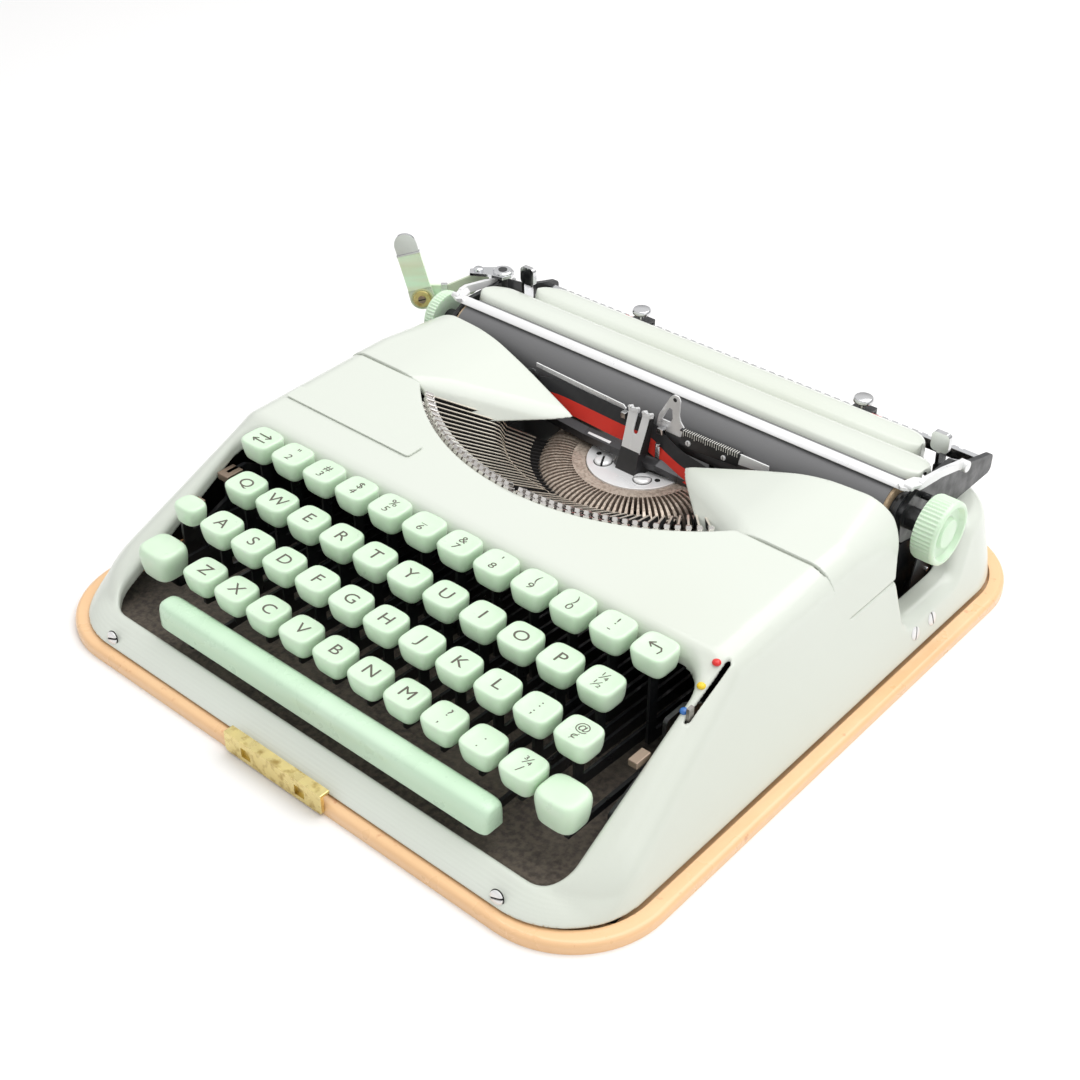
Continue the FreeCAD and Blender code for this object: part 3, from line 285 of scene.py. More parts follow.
class Finish:
    """A material with a principled shader and short calls for its detail."""

    def __init__(self, name, colour, roughness, metallic=0.0, coat=0.0):
        self.material = bpy.data.materials.new(name)
        self.material.use_nodes = True
        self.tree = self.material.node_tree
        self.shader = self.tree.nodes["Principled BSDF"]
        self.shader.inputs["Base Color"].default_value = colour
        self.shader.inputs["Roughness"].default_value = roughness
        self.shader.inputs["Metallic"].default_value = metallic
        self.shader.inputs["Coat Weight"].default_value = coat
        self.shader.inputs["Coat Roughness"].default_value = 0.06
        self.colour = colour
        self.place = self.add("ShaderNodeTexCoord").outputs["Object"]
        self.height = None

    def add(self, kind, **values):
        node = self.tree.nodes.new(kind)
        for key, value in values.items():
            setattr(node, key, value)
        return node

    def link(self, a, b):
        self.tree.links.new(a, b)

    def noise(self, scale, detail=4.0, stretch=None):
        node = self.add("ShaderNodeTexNoise")
        node.inputs["Scale"].default_value = scale
        node.inputs["Detail"].default_value = detail
        where = self.place
        if stretch:
            mapping = self.add("ShaderNodeMapping")
            mapping.inputs["Scale"].default_value = stretch
            self.link(where, mapping.inputs["Vector"])
            where = mapping.outputs["Vector"]
        self.link(where, node.inputs["Vector"])
        return node.outputs["Fac"]

    def ramp(self, value, low, high):
        """value stretched so that low becomes 0 and high becomes 1."""
        node = self.add("ShaderNodeMapRange")
        node.inputs["From Min"].default_value = low
        node.inputs["From Max"].default_value = high
        self.link(value, node.inputs["Value"])
        return node.outputs["Result"]

    def tint(self, amount, colour):
        """Mixes colour over what the base colour already is, by amount."""
        mix = self.add("ShaderNodeMix", data_type="RGBA")
        self.link(amount, mix.inputs["Factor"])
        socket = self.shader.inputs["Base Color"]
        if socket.is_linked:
            self.link(socket.links[0].from_socket, mix.inputs["A"])
        else:
            mix.inputs["A"].default_value = self.colour
        mix.inputs["B"].default_value = colour
        self.link(mix.outputs["Result"], socket)
        return self

    def mottle(self, scale, colour, strength=1.0, detail=4.0, low=0.45, high=0.75, stretch=None):
        amount = self.ramp(self.noise(scale, detail, stretch), low, high)
        if strength < 1.0:
            scaled = self.add("ShaderNodeMath", operation="MULTIPLY")
            self.link(amount, scaled.inputs[0])
            scaled.inputs[1].default_value = strength
            amount = scaled.outputs[0]
        return self.tint(amount, colour)

    def bands(self):
        """Soft slanted bands of cream and pink over the base colour."""
        self.mottle(26, srgb(238, 220, 190), 0.7, detail=1, low=0.46, high=0.56, stretch=(0.25, 0.25, 3.2))
        return self.mottle(34, srgb(222, 232, 196), 0.7, detail=1, low=0.5, high=0.6,
                           stretch=(0.3, 0.3, 3.6))

    def vary_roughness(self, scale, low, high):
        node = self.add("ShaderNodeMapRange")
        self.link(self.noise(scale), node.inputs["Value"])
        node.inputs["From Min"].default_value = 0.3
        node.inputs["From Max"].default_value = 0.7
        node.inputs["To Min"].default_value = low
        node.inputs["To Max"].default_value = high
        self.link(node.outputs["Result"], self.shader.inputs["Roughness"])
        return self

    def math(self, operation, a, b=0.0):
        node = self.add("ShaderNodeMath", operation=operation)
        for socket, value in zip(node.inputs, (a, b)):
            if isinstance(value, float):
                socket.default_value = value
            else:
                self.link(value, socket)
        return node.outputs[0]

    def well(self, half_x, half_y, half_sum, floor):
        """1 above floor inside an eight-sided prism about the origin, 0 elsewhere, in millimetres."""
        parts = self.add("ShaderNodeSeparateXYZ")
        self.link(self.place, parts.inputs["Vector"])
        x = self.math("ABSOLUTE", parts.outputs["X"])
        y = self.math("ABSOLUTE", parts.outputs["Y"])
        inside = self.math("LESS_THAN", x, half_x * MM)
        inside = self.math("MULTIPLY", inside, self.math("LESS_THAN", y, half_y * MM))
        inside = self.math("MULTIPLY", inside, self.math("LESS_THAN", self.math("ADD", x, y), half_sum * MM))
        return self.math("MULTIPLY", inside, self.math("GREATER_THAN", parts.outputs["Z"], floor * MM))

    def bump(self, scale, distance, detail=3.0, stretch=None):
        node = self.add("ShaderNodeBump")
        node.inputs["Strength"].default_value = 1.0
        node.inputs["Distance"].default_value = distance * MM
        self.link(self.noise(scale, detail, stretch), node.inputs["Height"])
        if self.height:
            self.link(self.height, node.inputs["Normal"])
        self.height = node.outputs["Normal"]
        self.link(self.height, self.shader.inputs["Normal"])
        return self


def shell_paint():
    f = Finish("sage_enamel", srgb(218, 223, 213), 0.30, coat=0.4)
    f.mottle(9, srgb(211, 216, 202), 0.5, detail=1)
    f.vary_roughness(12, 0.28, 0.34)
    return f.bump(420, 0.012)


def key_plastic():
    f = Finish("mint_plastic", srgb(216, 238, 212), 0.32, coat=0.25)
    f.shader.inputs["Subsurface Weight"].default_value = 0.3
    f.shader.inputs["Subsurface Radius"].default_value = (0.7, 1.0, 0.7)
    f.shader.inputs["Subsurface Scale"].default_value = 1.2 * MM
    f.mottle(55, srgb(208, 233, 204), 0.7)
    f.vary_roughness(140, 0.27, 0.40)
    return f.bump(900, 0.006)


def space_plastic():
    f = Finish("mint_plastic_worn", srgb(208, 237, 208), 0.30, coat=0.25)
    f.mottle(22, srgb(218, 242, 218), 0.8)
    f.vary_roughness(90, 0.22, 0.38)
    return f.bump(900, 0.006)


def tray_enamel():
    f = Finish("tan_enamel", srgb(243, 198, 148), 0.32, coat=0.5)
    f.mottle(30, srgb(248, 208, 162), 0.8)
    f.mottle(160, srgb(206, 128, 84), 0.8, detail=8, low=0.66, high=0.78)
    # Painted shade: the tray top under the body, above 1 mm, is tinted near black where the body's shade
    # falls.
    f.tint(f.well(140.5, 144.0, 267.0, 1.0), srgb(22, 21, 21))
    f.vary_roughness(60, 0.24, 0.42)
    return f.bump(380, 0.02)


def brass_plate():
    f = Finish("brass_plate", srgb(232, 214, 150), 0.30, metallic=1.0)
    f.mottle(260, srgb(176, 148, 84), 0.9, detail=8, low=0.52, high=0.72)
    f.vary_roughness(200, 0.22, 0.5)
    return f.bump(1600, 0.01)


def felt_cloth():
    f = Finish("felt_cloth", srgb(112, 101, 90), 0.95)
    f.shader.inputs["Sheen Weight"].default_value = 0.35
    f.mottle(420, srgb(78, 70, 63), 1.0, detail=8, low=0.4, high=0.62)
    f.mottle(60, srgb(126, 116, 104), 0.6)
    f.bump(900, 0.25, detail=8)
    return f.bump(2600, 0.12, detail=6)


def black_enamel():
    f = Finish("black_enamel", srgb(30, 31, 33), 0.34, coat=0.3)
    f.mottle(150, srgb(52, 50, 48), 0.8, detail=6, low=0.55, high=0.8)
    f.vary_roughness(160, 0.25, 0.55)
    return f.bump(700, 0.012)


def chrome_plate():
    f = Finish("chrome_plate", srgb(226, 227, 229), 0.10, metallic=1.0)
    f.mottle(60, srgb(208, 206, 202), 0.6, detail=2)
    f.vary_roughness(260, 0.06, 0.2)
    return f.bump(200, 0.004)


def bare_steel():
    f = Finish("bare_steel", srgb(158, 154, 150), 0.36, metallic=1.0)
    f.mottle(400, srgb(116, 108, 100), 0.8, detail=8, low=0.5, high=0.75)
    f.vary_roughness(300, 0.28, 0.52)
    return f.bump(1500, 0.01, stretch=(1, 8, 1))


def segment_bronze():
    f = Finish("segment_steel", srgb(198, 184, 170), 0.45, metallic=0.6)
    f.mottle(900, srgb(146, 130, 116), 0.8, detail=10, low=0.42, high=0.66)
    f.vary_roughness(500, 0.36, 0.62)
    return f.bump(2400, 0.02, detail=8)


def platen_rubber():
    f = Finish("platen_rubber", srgb(112, 112, 113), 0.50)
    f.mottle(28, srgb(122, 122, 123), 0.7, stretch=(0.4, 1, 1))
    f.vary_roughness(120, 0.42, 0.60)
    return f.bump(1800, 0.01)


def core_wood():
    f = Finish("pressed_board", srgb(196, 172, 140), 0.7)
    f.mottle(500, srgb(150, 124, 96), 0.8, detail=8)
    return f.bump(1500, 0.05)


def plain(name, colour, roughness, metallic=0.0, coat=0.2):
    """A small painted detail: one colour, a little unevenness."""
    f = Finish(name, colour, roughness, metallic, coat)
    return f.vary_roughness(60, roughness * 0.85, min(1.0, roughness * 1.15))


FINISHES = {
    "shell_paint": shell_paint(), "key_plastic": key_plastic(), "tray_paint": tray_enamel(),
    "brass": brass_plate(),
    "felt": felt_cloth(), "dark_steel": black_enamel(), "bright_steel": chrome_plate(),
    "steel": bare_steel(),
    "segment_steel": segment_bronze(), "rubber": platen_rubber(), "core": core_wood(),
}
SPACE_PLASTIC = space_plastic()
LEGEND_INK = plain("legend_ink", srgb(92, 88, 76), 0.5)
RIBBON_BLACK = plain("ribbon_black", srgb(44, 44, 46), 0.75)
RIBBON_RED = plain("ribbon_red", srgb(228, 52, 38), 0.7)
DOT_RED = plain("dot_red", srgb(222, 40, 36), 0.25)
DOT_YELLOW = plain("dot_yellow", srgb(240, 205, 40), 0.25)
DOT_BLUE = plain("dot_blue", srgb(58, 116, 190), 0.25)
# Near-black matte: painted shade at the bottoms of the segment slots, in screw slots and holes and under
# screw heads; also plain black on the segment posts and the type rest's lower band.
SHADE_BLACK = plain("painted_shade_and_matte_black", srgb(16, 15, 15), 0.85, 0.0, 0.0)
BRIGHT_PLATE = plain("polished_plate", srgb(240, 240, 240), 0.30, 0.25, 0.5)
# Painted highlight: the near-white strip along each typebar's lit top.
BAR_HIGHLIGHT = plain("typebar_painted_highlight", srgb(236, 226, 210), 0.30, 0.5)
TYPE_METAL = plain("type_metal", srgb(238, 234, 230), 0.18, 0.85, 0.0)
# Painted shade: the near-black sides of the typebars and of the type guide's flange.
SIDE_SHADE = plain("side_painted_shade", srgb(22, 20, 20), 0.8, 0.0, 0.0)
GUIDE_GREY = plain("guide_grey", srgb(72, 72, 74), 0.38, 0.6)
BLACK_SCALE = plain("line_scale", srgb(34, 34, 36), 0.42)
SCALE_WHITE = plain("scale_marks", srgb(226, 224, 216), 0.5)
# Painted shade: the near-black matte finish on the shells' inner faces, which stand in shadow inside the
# machine.
INSIDE_SHADE = plain("inside_painted_shade", srgb(22, 21, 21), 0.85, 0.0, 0.0)
STRIPED = plain("striped_sleeve", srgb(222, 252, 220), 0.4).bands()
GREEN_GREY = plain("green_grey", srgb(204, 214, 190), 0.45)
OLIVE = plain("olive_boss", srgb(186, 188, 140), 0.4)
BROWN_STEEL = plain("brown_steel", srgb(158, 138, 122), 0.4, 0.7)


def paint(obj, finish):
    obj.data.materials.clear()
    obj.data.materials.append(finish.material)
    return obj


def ride(obj, body, slot, *nodes):
    """Gives a piece its body and hides the CAD nodes that it stands for; slot is not used."""
    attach(obj, body)
    if nodes:
        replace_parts(obj, *nodes)
    return obj


def dress_cad_nodes():
    """Every CAD node takes the finish of its record slot."""
    slots = {part["node"]: part["material_slot"] for part in frame["record"]["subparts"]}
    for name, obj in NODES.items():
        finish = FINISHES.get(slots[name])
        if finish is None:
            finish = RIBBON_RED if slots[name] == "ribbon_cloth" else DOT_RED
        for i in range(len(obj.data.materials)):
            obj.data.materials[i] = finish.material


# ---------------------------------------------------------------- mesh building
class Mesh:
    """Collects points and faces in millimetres, one finish per group of faces."""

    def __init__(self):
        self.points = []
        self.faces = []
        self.marks = []

    def add(self, points, faces, mark=0):
        base = len(self.points)
        self.points.extend(tuple(map(float, p)) for p in points)
        self.faces.extend(tuple(base + i for i in face) for face in faces)
        self.marks.extend([mark] * len(faces))

    def rings(self, rings, mark=0, closed=(True, True), loop=False):
        """Skin over rings of equal point count; a one-point ring is a tip."""
        count = len(rings[0])
        points = [p for ring in rings for p in ring]
        faces = []
        pairs = len(rings) if loop else len(rings) - 1
        for r in range(pairs):
            a = r * count
            b = ((r + 1) % len(rings)) * count
            for i in range(count):
                j = (i + 1) % count
                faces.append((a + i, a + j, b + j, b + i))
        if not loop:
            if closed[0]:
                faces.append(tuple(range(count - 1, -1, -1)))
            if closed[1]:
                last = (len(rings) - 1) * count
                faces.append(tuple(last + i for i in range(count)))
        self.add(points, faces, mark)

    def prism(self, outline, place, thickness, mark=0):
        """A plate: outline (u, v) pairs, place(u, v, w) gives the point, w from 0 to thickness."""
        self.rings([[place(u, v, 0) for u, v in outline], [place(u, v, thickness) for u, v in outline]],
                   mark)

    def block(self, low, high, mark=0):
        outline = [(low[0], low[1]), (high[0], low[1]), (high[0], high[1]), (low[0], high[1])]
        self.rings([[(u, v, low[2]) for u, v in outline], [(u, v, high[2]) for u, v in outline]], mark)

    def rod(self, a, b, radius, mark=0, sides=16, ends=0.0, radius_b=None):
        """A round bar from a to b with chamfered ends."""
        a = Vector(a)
        b = Vector(b)
        axis = (b - a).normalized()
        u = axis.orthogonal().normalized()
        v = axis.cross(u)
        far = radius if radius_b is None else radius_b
        stations = [(a, radius), (b, far)]
        if ends:
            stations = [(a, radius - ends), (a + axis * ends, radius), (b - axis * ends, far),
                        (b, far - ends)]
        rings = []
        for at, r in stations:
            rings.append([at + (u * math.cos(t) + v * math.sin(t)) * r for t in turn(sides)])
        self.rings(rings, mark)

    def lathe(self, profile, place, sides=48, mark=0):
        """profile of (radius, height); place(x, y, h) gives the point."""
        rings = []
        for r, h in profile:
            rings.append([place(r * math.cos(t), r * math.sin(t), h) for t in turn(sides)])
        self.rings(rings, mark)

    def make(self, name, finishes, bevel=0.0, smooth=True, segments=2):
        mesh = bpy.data.meshes.new(name)
        mesh.from_pydata([(x * MM, y * MM, z * MM) for x, y, z in self.points], [], self.faces)
        for finish in finishes:
            mesh.materials.append(finish.material)
        mesh.polygons.foreach_set("material_index", self.marks)
        work = bmesh.new()
        work.from_mesh(mesh)
        bmesh.ops.recalc_face_normals(work, faces=work.faces)
        work.to_mesh(mesh)
        work.free()
        obj = bpy.data.objects.new(name, mesh)
        bpy.context.scene.collection.objects.link(obj)
        if smooth:
            mesh.shade_smooth()
            mesh.set_sharp_from_angle(angle=math.radians(38))
        if bevel:
            edge = obj.modifiers.new("edges", "BEVEL")
            edge.width = bevel * MM
            edge.segments = segments
            edge.limit_method = "ANGLE"
            edge.angle_limit = math.radians(38)
            edge.harden_normals = True
        return obj


def turn(count, start=0.0, stop=2 * math.pi):
    return [start + (stop - start) * i / count for i in range(count)]


# ---------------------------------------------------------------- keys
KEY_ROWS = {                       # first x, y, top height, legends from left to right
    "number_row": (-104.8, -62.4, 65.0,
                   ["arrows", '2"', "3#", "4$", "5%", "6_", "7&", "8'", "9(", "0)", "-!", "hook"]),
    "top_row": (-95.0, -80.9, 56.0, list("QWERTYUIOP") + ["½¼"]),
    "home_row": (-89.2, -100.0, 48.5, list("ASDFG") + [None] + list("JKL") + [";:", "¢@"]),
    "bottom_row": (-80.3, -117.5, 38.8, list("ZXCVBNM") + [",?", "..", "/¾"]),
}
KEY_H = (6.05, -100.0, 48.5)
KEY_PITCH = 19.05
CAP_RINGS = [                      # height above the top rim and half width, from the skirt upwards
    (-9.9, 5.2), (-9.6, 6.0), (-8.9, 6.55), (-7.4, 6.95), (-5.2, 7.25), (-3.2, 7.45), (-1.6, 7.55),
    (-0.75, 7.48),
    (-0.3, 7.25), (-0.08, 6.95), (0.0, 6.6),
]
CAP_DISH = [(5.9, -0.10), (4.6, -0.34), (3.0, -0.52), (1.4, -0.6), (0.2, -0.62)]
CAP_SQUARENESS = 4.2


def superellipse(half_u, half_v, count=40, power=CAP_SQUARENESS):
    ring = []
    for t in turn(count, math.pi / count, 2 * math.pi + math.pi / count):
        c, s = math.cos(t), math.sin(t)
        r = (abs(c) ** power + abs(s) ** power) ** (-1 / power)
        ring.append((half_u * r * c, half_v * r * s))
    return ring


def key_cap(mesh, x, y, top, mark=0):
    rings = []
    for height, half in CAP_RINGS + [(z, r) for r, z in CAP_DISH]:
        lean = -0.05 * height
        rings.append([(x + u, y + v + lean, top + height) for u,
                      v in superellipse(half * 1.02, half * 0.97)])
    mesh.rings(rings, mark)


def dish_height(u, v):
    p = CAP_SQUARENESS
    reach = (abs(u) ** p + abs(v) ** p) ** (1 / p)
    return float(np.interp(reach, [r for r, z in CAP_DISH[::-1]] + [6.5],
                           [z for r, z in CAP_DISH[::-1]] + [0.0]))


def glyph(mesh, text, size, place, mark=0, width=1.15, weight=0.0):
    """One printed sign as a thin raised layer; place(u, v, w) lays it on a surface."""
    curve = bpy.data.curves.new("sign", "FONT")
    curve.body = text
    curve.size = size
    curve.align_x = "CENTER"
    curve.align_y = "CENTER"
    curve.extrude = 0.02
    curve.offset = weight
    curve.resolution_u = 4
    holder = bpy.data.objects.new("sign", curve)
    bpy.context.scene.collection.objects.link(holder)
    bpy.context.view_layer.update()
    flat = bpy.data.meshes.new_from_object(holder.evaluated_get(bpy.context.evaluated_depsgraph_get()))
    points = [place(p.co.x * width, p.co.y, p.co.z) for p in flat.vertices]
    mesh.add(points, [tuple(f.vertices) for f in flat.polygons], mark)
    bpy.data.objects.remove(holder)
    bpy.data.curves.remove(curve)
    bpy.data.meshes.remove(flat)


def stroke(mesh, path, width, place, mark=0):
    """A drawn line of short bars, as a thin raised layer."""
    for (u0, v0), (u1, v1) in zip(path[:-1], path[1:]):
        du, dv = u1 - u0, v1 - v0
        length = math.hypot(du, dv)
        nu, nv = -dv / length * width / 2, du / length * width / 2
        eu, ev = du / length * width * 0.3, dv / length * width * 0.3
        outline = [(u0 - nu - eu, v0 - nv - ev), (u1 - nu + eu, v1 - nv + ev),
                   (u1 + nu + eu, v1 + nv + ev), (u0 + nu - eu, v0 + nv - ev)]
        mesh.prism(outline, place, 0.03, mark)


def legend(mesh, sign, x, y, top, mark=0):
    def place(u, v, w):
        return (x + u, y + v, top + dish_height(u, v) + 0.04 + w)

    def raised(u, v, w):
        return place(u, v + 2.35, w)

    def lowered(u, v, w):
        return place(u, v - 2.45, w)

    if sign == "arrows":
        for side, lift in ((1, 1.9), (-1, -1.9)):
            stroke(mesh, [(-3.4 * side, lift), (3.4 * side, lift)], 0.6, place, mark)
            stroke(mesh, [(1.5 * side, lift + 1.4), (3.4 * side, lift), (1.5 * side, lift - 1.4)], 0.6,
                   place, mark)
    elif sign == "hook":
        stroke(mesh, [(2.8, -2.6), (3.2, -0.6), (2.2, 0.9), (-3.2, 0.9)], 0.6, place, mark)
        stroke(mesh, [(-1.4, 2.4), (-3.2, 0.9), (-1.4, -0.6)], 0.6, place, mark)
    elif len(sign) == 2:
        glyph(mesh, sign[0], 5.2, lowered, mark)
        glyph(mesh, sign[1], 5.2, raised, mark)
    else:
        glyph(mesh, sign, 7.8, place, mark)


def make_keys():
    for body, (x0, y, top, signs) in KEY_ROWS.items():
        caps = Mesh()
        ink = Mesh()
        for i, sign in enumerate(signs):
            if sign:
                key_cap(caps, x0 + i * KEY_PITCH, y, top)
                legend(ink, sign, x0 + i * KEY_PITCH, y, top)
        ride(caps.make(body + "_plastic", [FINISHES["key_plastic"]]), body, "key_plastic", body + "_caps")
        ride(ink.make(body + "_signs", [LEGEND_INK], smooth=False), body, "key_plastic")
    cap = Mesh()
    key_cap(cap, *KEY_H)
    ride(cap.make("key_h_plastic", [FINISHES["key_plastic"]]), "key_h", "key_plastic", "key_h_cap")
    ink = Mesh()
    legend(ink, "H", *KEY_H)
    ride(ink.make("key_h_sign", [LEGEND_INK], smooth=False), "key_h", "key_plastic")


def soft_block(mesh, centre, half, top, height, squareness=3.6, mark=0):
    """A moulded key: a tall rounded block with a soft crown."""
    rings = []
    for level, share in ((-1.0, 0.80), (-0.96, 0.88), (-0.7, 0.95), (-0.38, 1.0), (-0.22, 1.0),
                         (-0.12, 0.975),
                         (-0.055, 0.93), (-0.015, 0.86), (0.0, 0.76), (0.002, 0.5), (0.0, 0.1)):
        ring = superellipse(half[0] * share, half[1] * share, 48, squareness)
        rings.append([(centre[0] + u, centre[1] + v, top + level * height) for u, v in ring])
    mesh.rings(rings, mark)


def make_shift_keys():
    caps = Mesh()
    for side in (-1, 1):
        soft_block(caps, (side * 108.8, -116.9), (9.2, 8.1), 36.7, 13.0)
    ride(caps.make("shift_plastic", [FINISHES["key_plastic"]]), "shift_keys", "key_plastic",
         "shift_key_caps")
    lock = Mesh()
    soft_block(lock, (-110.0, -99.5), (6.6, 5.4), 48.6, 8.5, 3.0)
    stem = [(-102.0, 40.6), (-97.0, 40.6), (-97.0, 32.0), (-62.0, 29.0), (-60.6, 25.3), (-62.0, 22.4),
            (-102.0, 27.0)]
    lock.prism(stem, lambda u, v, w: (-115.2 + w, u, v), 1.4, 1)
    lock.block((-115.2, -102.0, 39.8), (-108.0, -97.0, 40.6), 1)
    ride(lock.make("shift_lock_plastic", [FINISHES["key_plastic"], FINISHES["dark_steel"]]), "shift_lock",
         "key_plastic",
         "shift_lock_key")


def make_space_bar():
    bar = Mesh()
    profile = [(-5.4, -11.4), (-5.5, -7.0), (-5.3, -3.2), (-4.6, -1.2), (-3.2, -0.25), (-1.2, 0.0),
               (1.2, 0.0),
               (3.2, -0.25), (4.6, -1.2), (5.3, -3.2), (5.5, -7.0), (5.4, -11.4)]
    rings = []
    for x, share in ((-90.2, 0.55), (-89.9, 0.74), (-89.0, 0.88), (-87.2, 0.97), (-84.6, 1.0), (84.6, 1.0),
                     (87.2, 0.97),
                     (89.0, 0.88), (89.9, 0.74), (90.2, 0.55)):
        rings.append([(x, -131.5 + v * share, 28.0 - (1 - share) * 3.4 + h * (0.6 + 0.4 * share)) for v,
                      h in profile])
    bar.rings(rings)
    ride(bar.make("space_bar_plastic", [SPACE_PLASTIC]), "space_bar", "key_plastic", "space_bar")


# ---------------------------------------------------------------- type basket
SEGMENT_Y = 62.0
PLATE_R = 23.3
SLOT_START_R = 29.5
PIVOT_R = 41.0
PIVOT_Z = 34.0
SLOT_FAN = math.radians(76.0)
HEAD_FAN = math.radians(55.5)
BAR_COUNT = 43
HEAD_Z = 62.5
HEAD_ARC_R = 115.0
ARC_Y = 95.6
BAR_BENDS = [(-0.05, -1.0), (0.16, -2.2), (0.40, -1.9), (0.47, 0.9), (0.52, 1.2), (0.94, 0.1), (1.0, 0.0)]


def polar(angle):
    """Places (reach, sideways, height) around the segment's centre; angle 0 points at the typist."""
    c, s = math.cos(angle), math.sin(angle)

    def place(r, t, h):
        return (r * s + t * c, SEGMENT_Y - r * c + t * s, h)
    return place


def head_reach(angle):
    offset = ARC_Y - SEGMENT_Y
    return math.sqrt(HEAD_ARC_R ** 2 - (offset * math.sin(angle)) ** 2) - offset * math.cos(angle)


def make_segment():
    """Half ring of rounded teeth; the gaps between them are the typebar slots."""
    ring = Mesh()
    inner = [(PLATE_R, 36.6), (PLATE_R + 0.5, 37.1), (SLOT_START_R - 0.6, 37.5), (SLOT_START_R, 37.5),
             (SLOT_START_R, 30.0), (PLATE_R, 30.0)]
    rings = []
    for i in range(97):
        place = polar(math.radians(-96 + 2 * i))
        rings.append([place(r, 0, h) for r, h in inner])
    ring.rings(rings)
    crown = [(SLOT_START_R - 0.4, 30.0), (SLOT_START_R - 0.4, 37.5), (33.0, 38.1), (37.5, 38.0),
             (41.5, 37.0),
             (44.8, 35.0), (47.2, 31.8), (48.4, 28.0), (48.6, 23.0), (48.6, 19.0), (40.0, 19.0)]
    pitch = 2 * SLOT_FAN / (BAR_COUNT - 1)
    for i in range(BAR_COUNT + 1):
        middle = -SLOT_FAN + (i - 0.5) * pitch
        low, high = middle - pitch / 2, middle + pitch / 2
        if i == 0:
            low = math.radians(-96)
        if i == BAR_COUNT:
            high = math.radians(96)
        steps = 2 if 0 < i < BAR_COUNT else 12
        rings = []
        for k in range(steps + 1):
            angle = low + (high - low) * k / steps
            lean = 0.68 * ((k == 0 and i > 0) - (k == steps and i < BAR_COUNT))
            place = polar(angle)
            rings.append([place(r, lean, h) for r, h in crown])
        ring.rings(rings)
    # The web below the slots is painted shade, near black, so that the slots read deep.
    low_web = [(PLATE_R, 30.2), (46.0, 27.0), (46.0, 19.0), (PLATE_R, 19.0)]
    rings = []
    for i in range(49):
        place = polar(math.radians(-96 + 4 * i))
        rings.append([place(r, 0, h) for r, h in low_web])
    ring.rings(rings, 1)
    for side in (-1, 1):
        ring.block((side * 26 - 4, SEGMENT_Y - 9, 1.6), (side * 26 + 4, SEGMENT_Y - 1, 24), 1)
    ride(ring.make("segment_teeth", [FINISHES["segment_steel"], SHADE_BLACK]), "machine", "segment_steel",
         "type_segment")


def make_plate():
    plate = Mesh()
    outline = [(PLATE_R * math.sin(t) * 0.995, SEGMENT_Y - PLATE_R * math.cos(t) * 0.995)
               for t in np.linspace(math.radians(-84), math.radians(84), 45)]
    outline += [(9.0, SEGMENT_Y - 4.5), (8.0, SEGMENT_Y - 8.5), (4.5, SEGMENT_Y - 10.2),
                (-4.5, SEGMENT_Y - 10.2),
                (-8.0, SEGMENT_Y - 8.5), (-9.0, SEGMENT_Y - 4.5)]
    plate.prism(outline, lambda u, v, w: (u, v, 35.6 + w), 1.9)
    screws = Mesh()
    for side in (-1, 1):
        screw_head(screws, (side * 11.0, SEGMENT_Y - 11.4, 37.5), (0, 0, 1), 3.9, 1.5,
                   math.radians(-12 + 50 * side))
        # A near-black disc is a hole with its shade painted.
        hole = (side * 16.4, SEGMENT_Y - 7.6, 37.5)
        screws.rod(hole, (hole[0], hole[1], 37.62), 1.25, 1)
        screw_head(screws, (side * 106.5, -149.0, 8.3), (0, -1, 0.25), 2.9, 1.0, math.radians(20))
        for y in (65.0, 78.0):
            screw_head(screws, (side * 142.1, y, 12.6), (side, 0, 0.25), 3.0, 0.9,
                       math.radians(70 + 25 * (y - 65) / 13))
    ride(plate.make("segment_face", [BRIGHT_PLATE], 0.25), "machine", "bright_steel", "segment_plate")
    ride(screws.make("screw_heads", [BRIGHT_PLATE, SHADE_BLACK], 0.1), "machine", "bright_steel",
         "slotted_screws")


def screw_head(mesh, at, normal, radius, height, turned):
    """Domed head in two halves; the slot between them and a ring under the head are painted shade, near
    black.
    """
    up = Vector(normal).normalized()
    u = (Vector((0, 0, 1)).cross(up) if abs(up.z) < 0.9 else Vector((1, 0, 0))).normalized()
    v = up.cross(u)
    u, v = u * math.cos(turned) + v * math.sin(turned), v * math.cos(turned) - u * math.sin(turned)
    at = Vector(at)
    for side in (-1, 1):
        rings = []
        for share, level in ((1.0, 0.0), (1.0, 0.55), (0.9, 0.8), (0.72, 0.93), (0.4, 1.0)):
            reach = radius * share
            start = math.asin(0.14 / share)
            rings.append([at + u * reach * math.cos(t) + v * side * reach * math.sin(t) + up * height * level
                          for t in np.linspace(start, math.pi - start, 15)])
        mesh.rings(rings, 0)
    mesh.rod(at, at + up * height * 0.4, radius * 0.92, 1)
    mesh.rod(at - up * 0.3, at + up * 0.06, radius * 1.1, 1, 32)


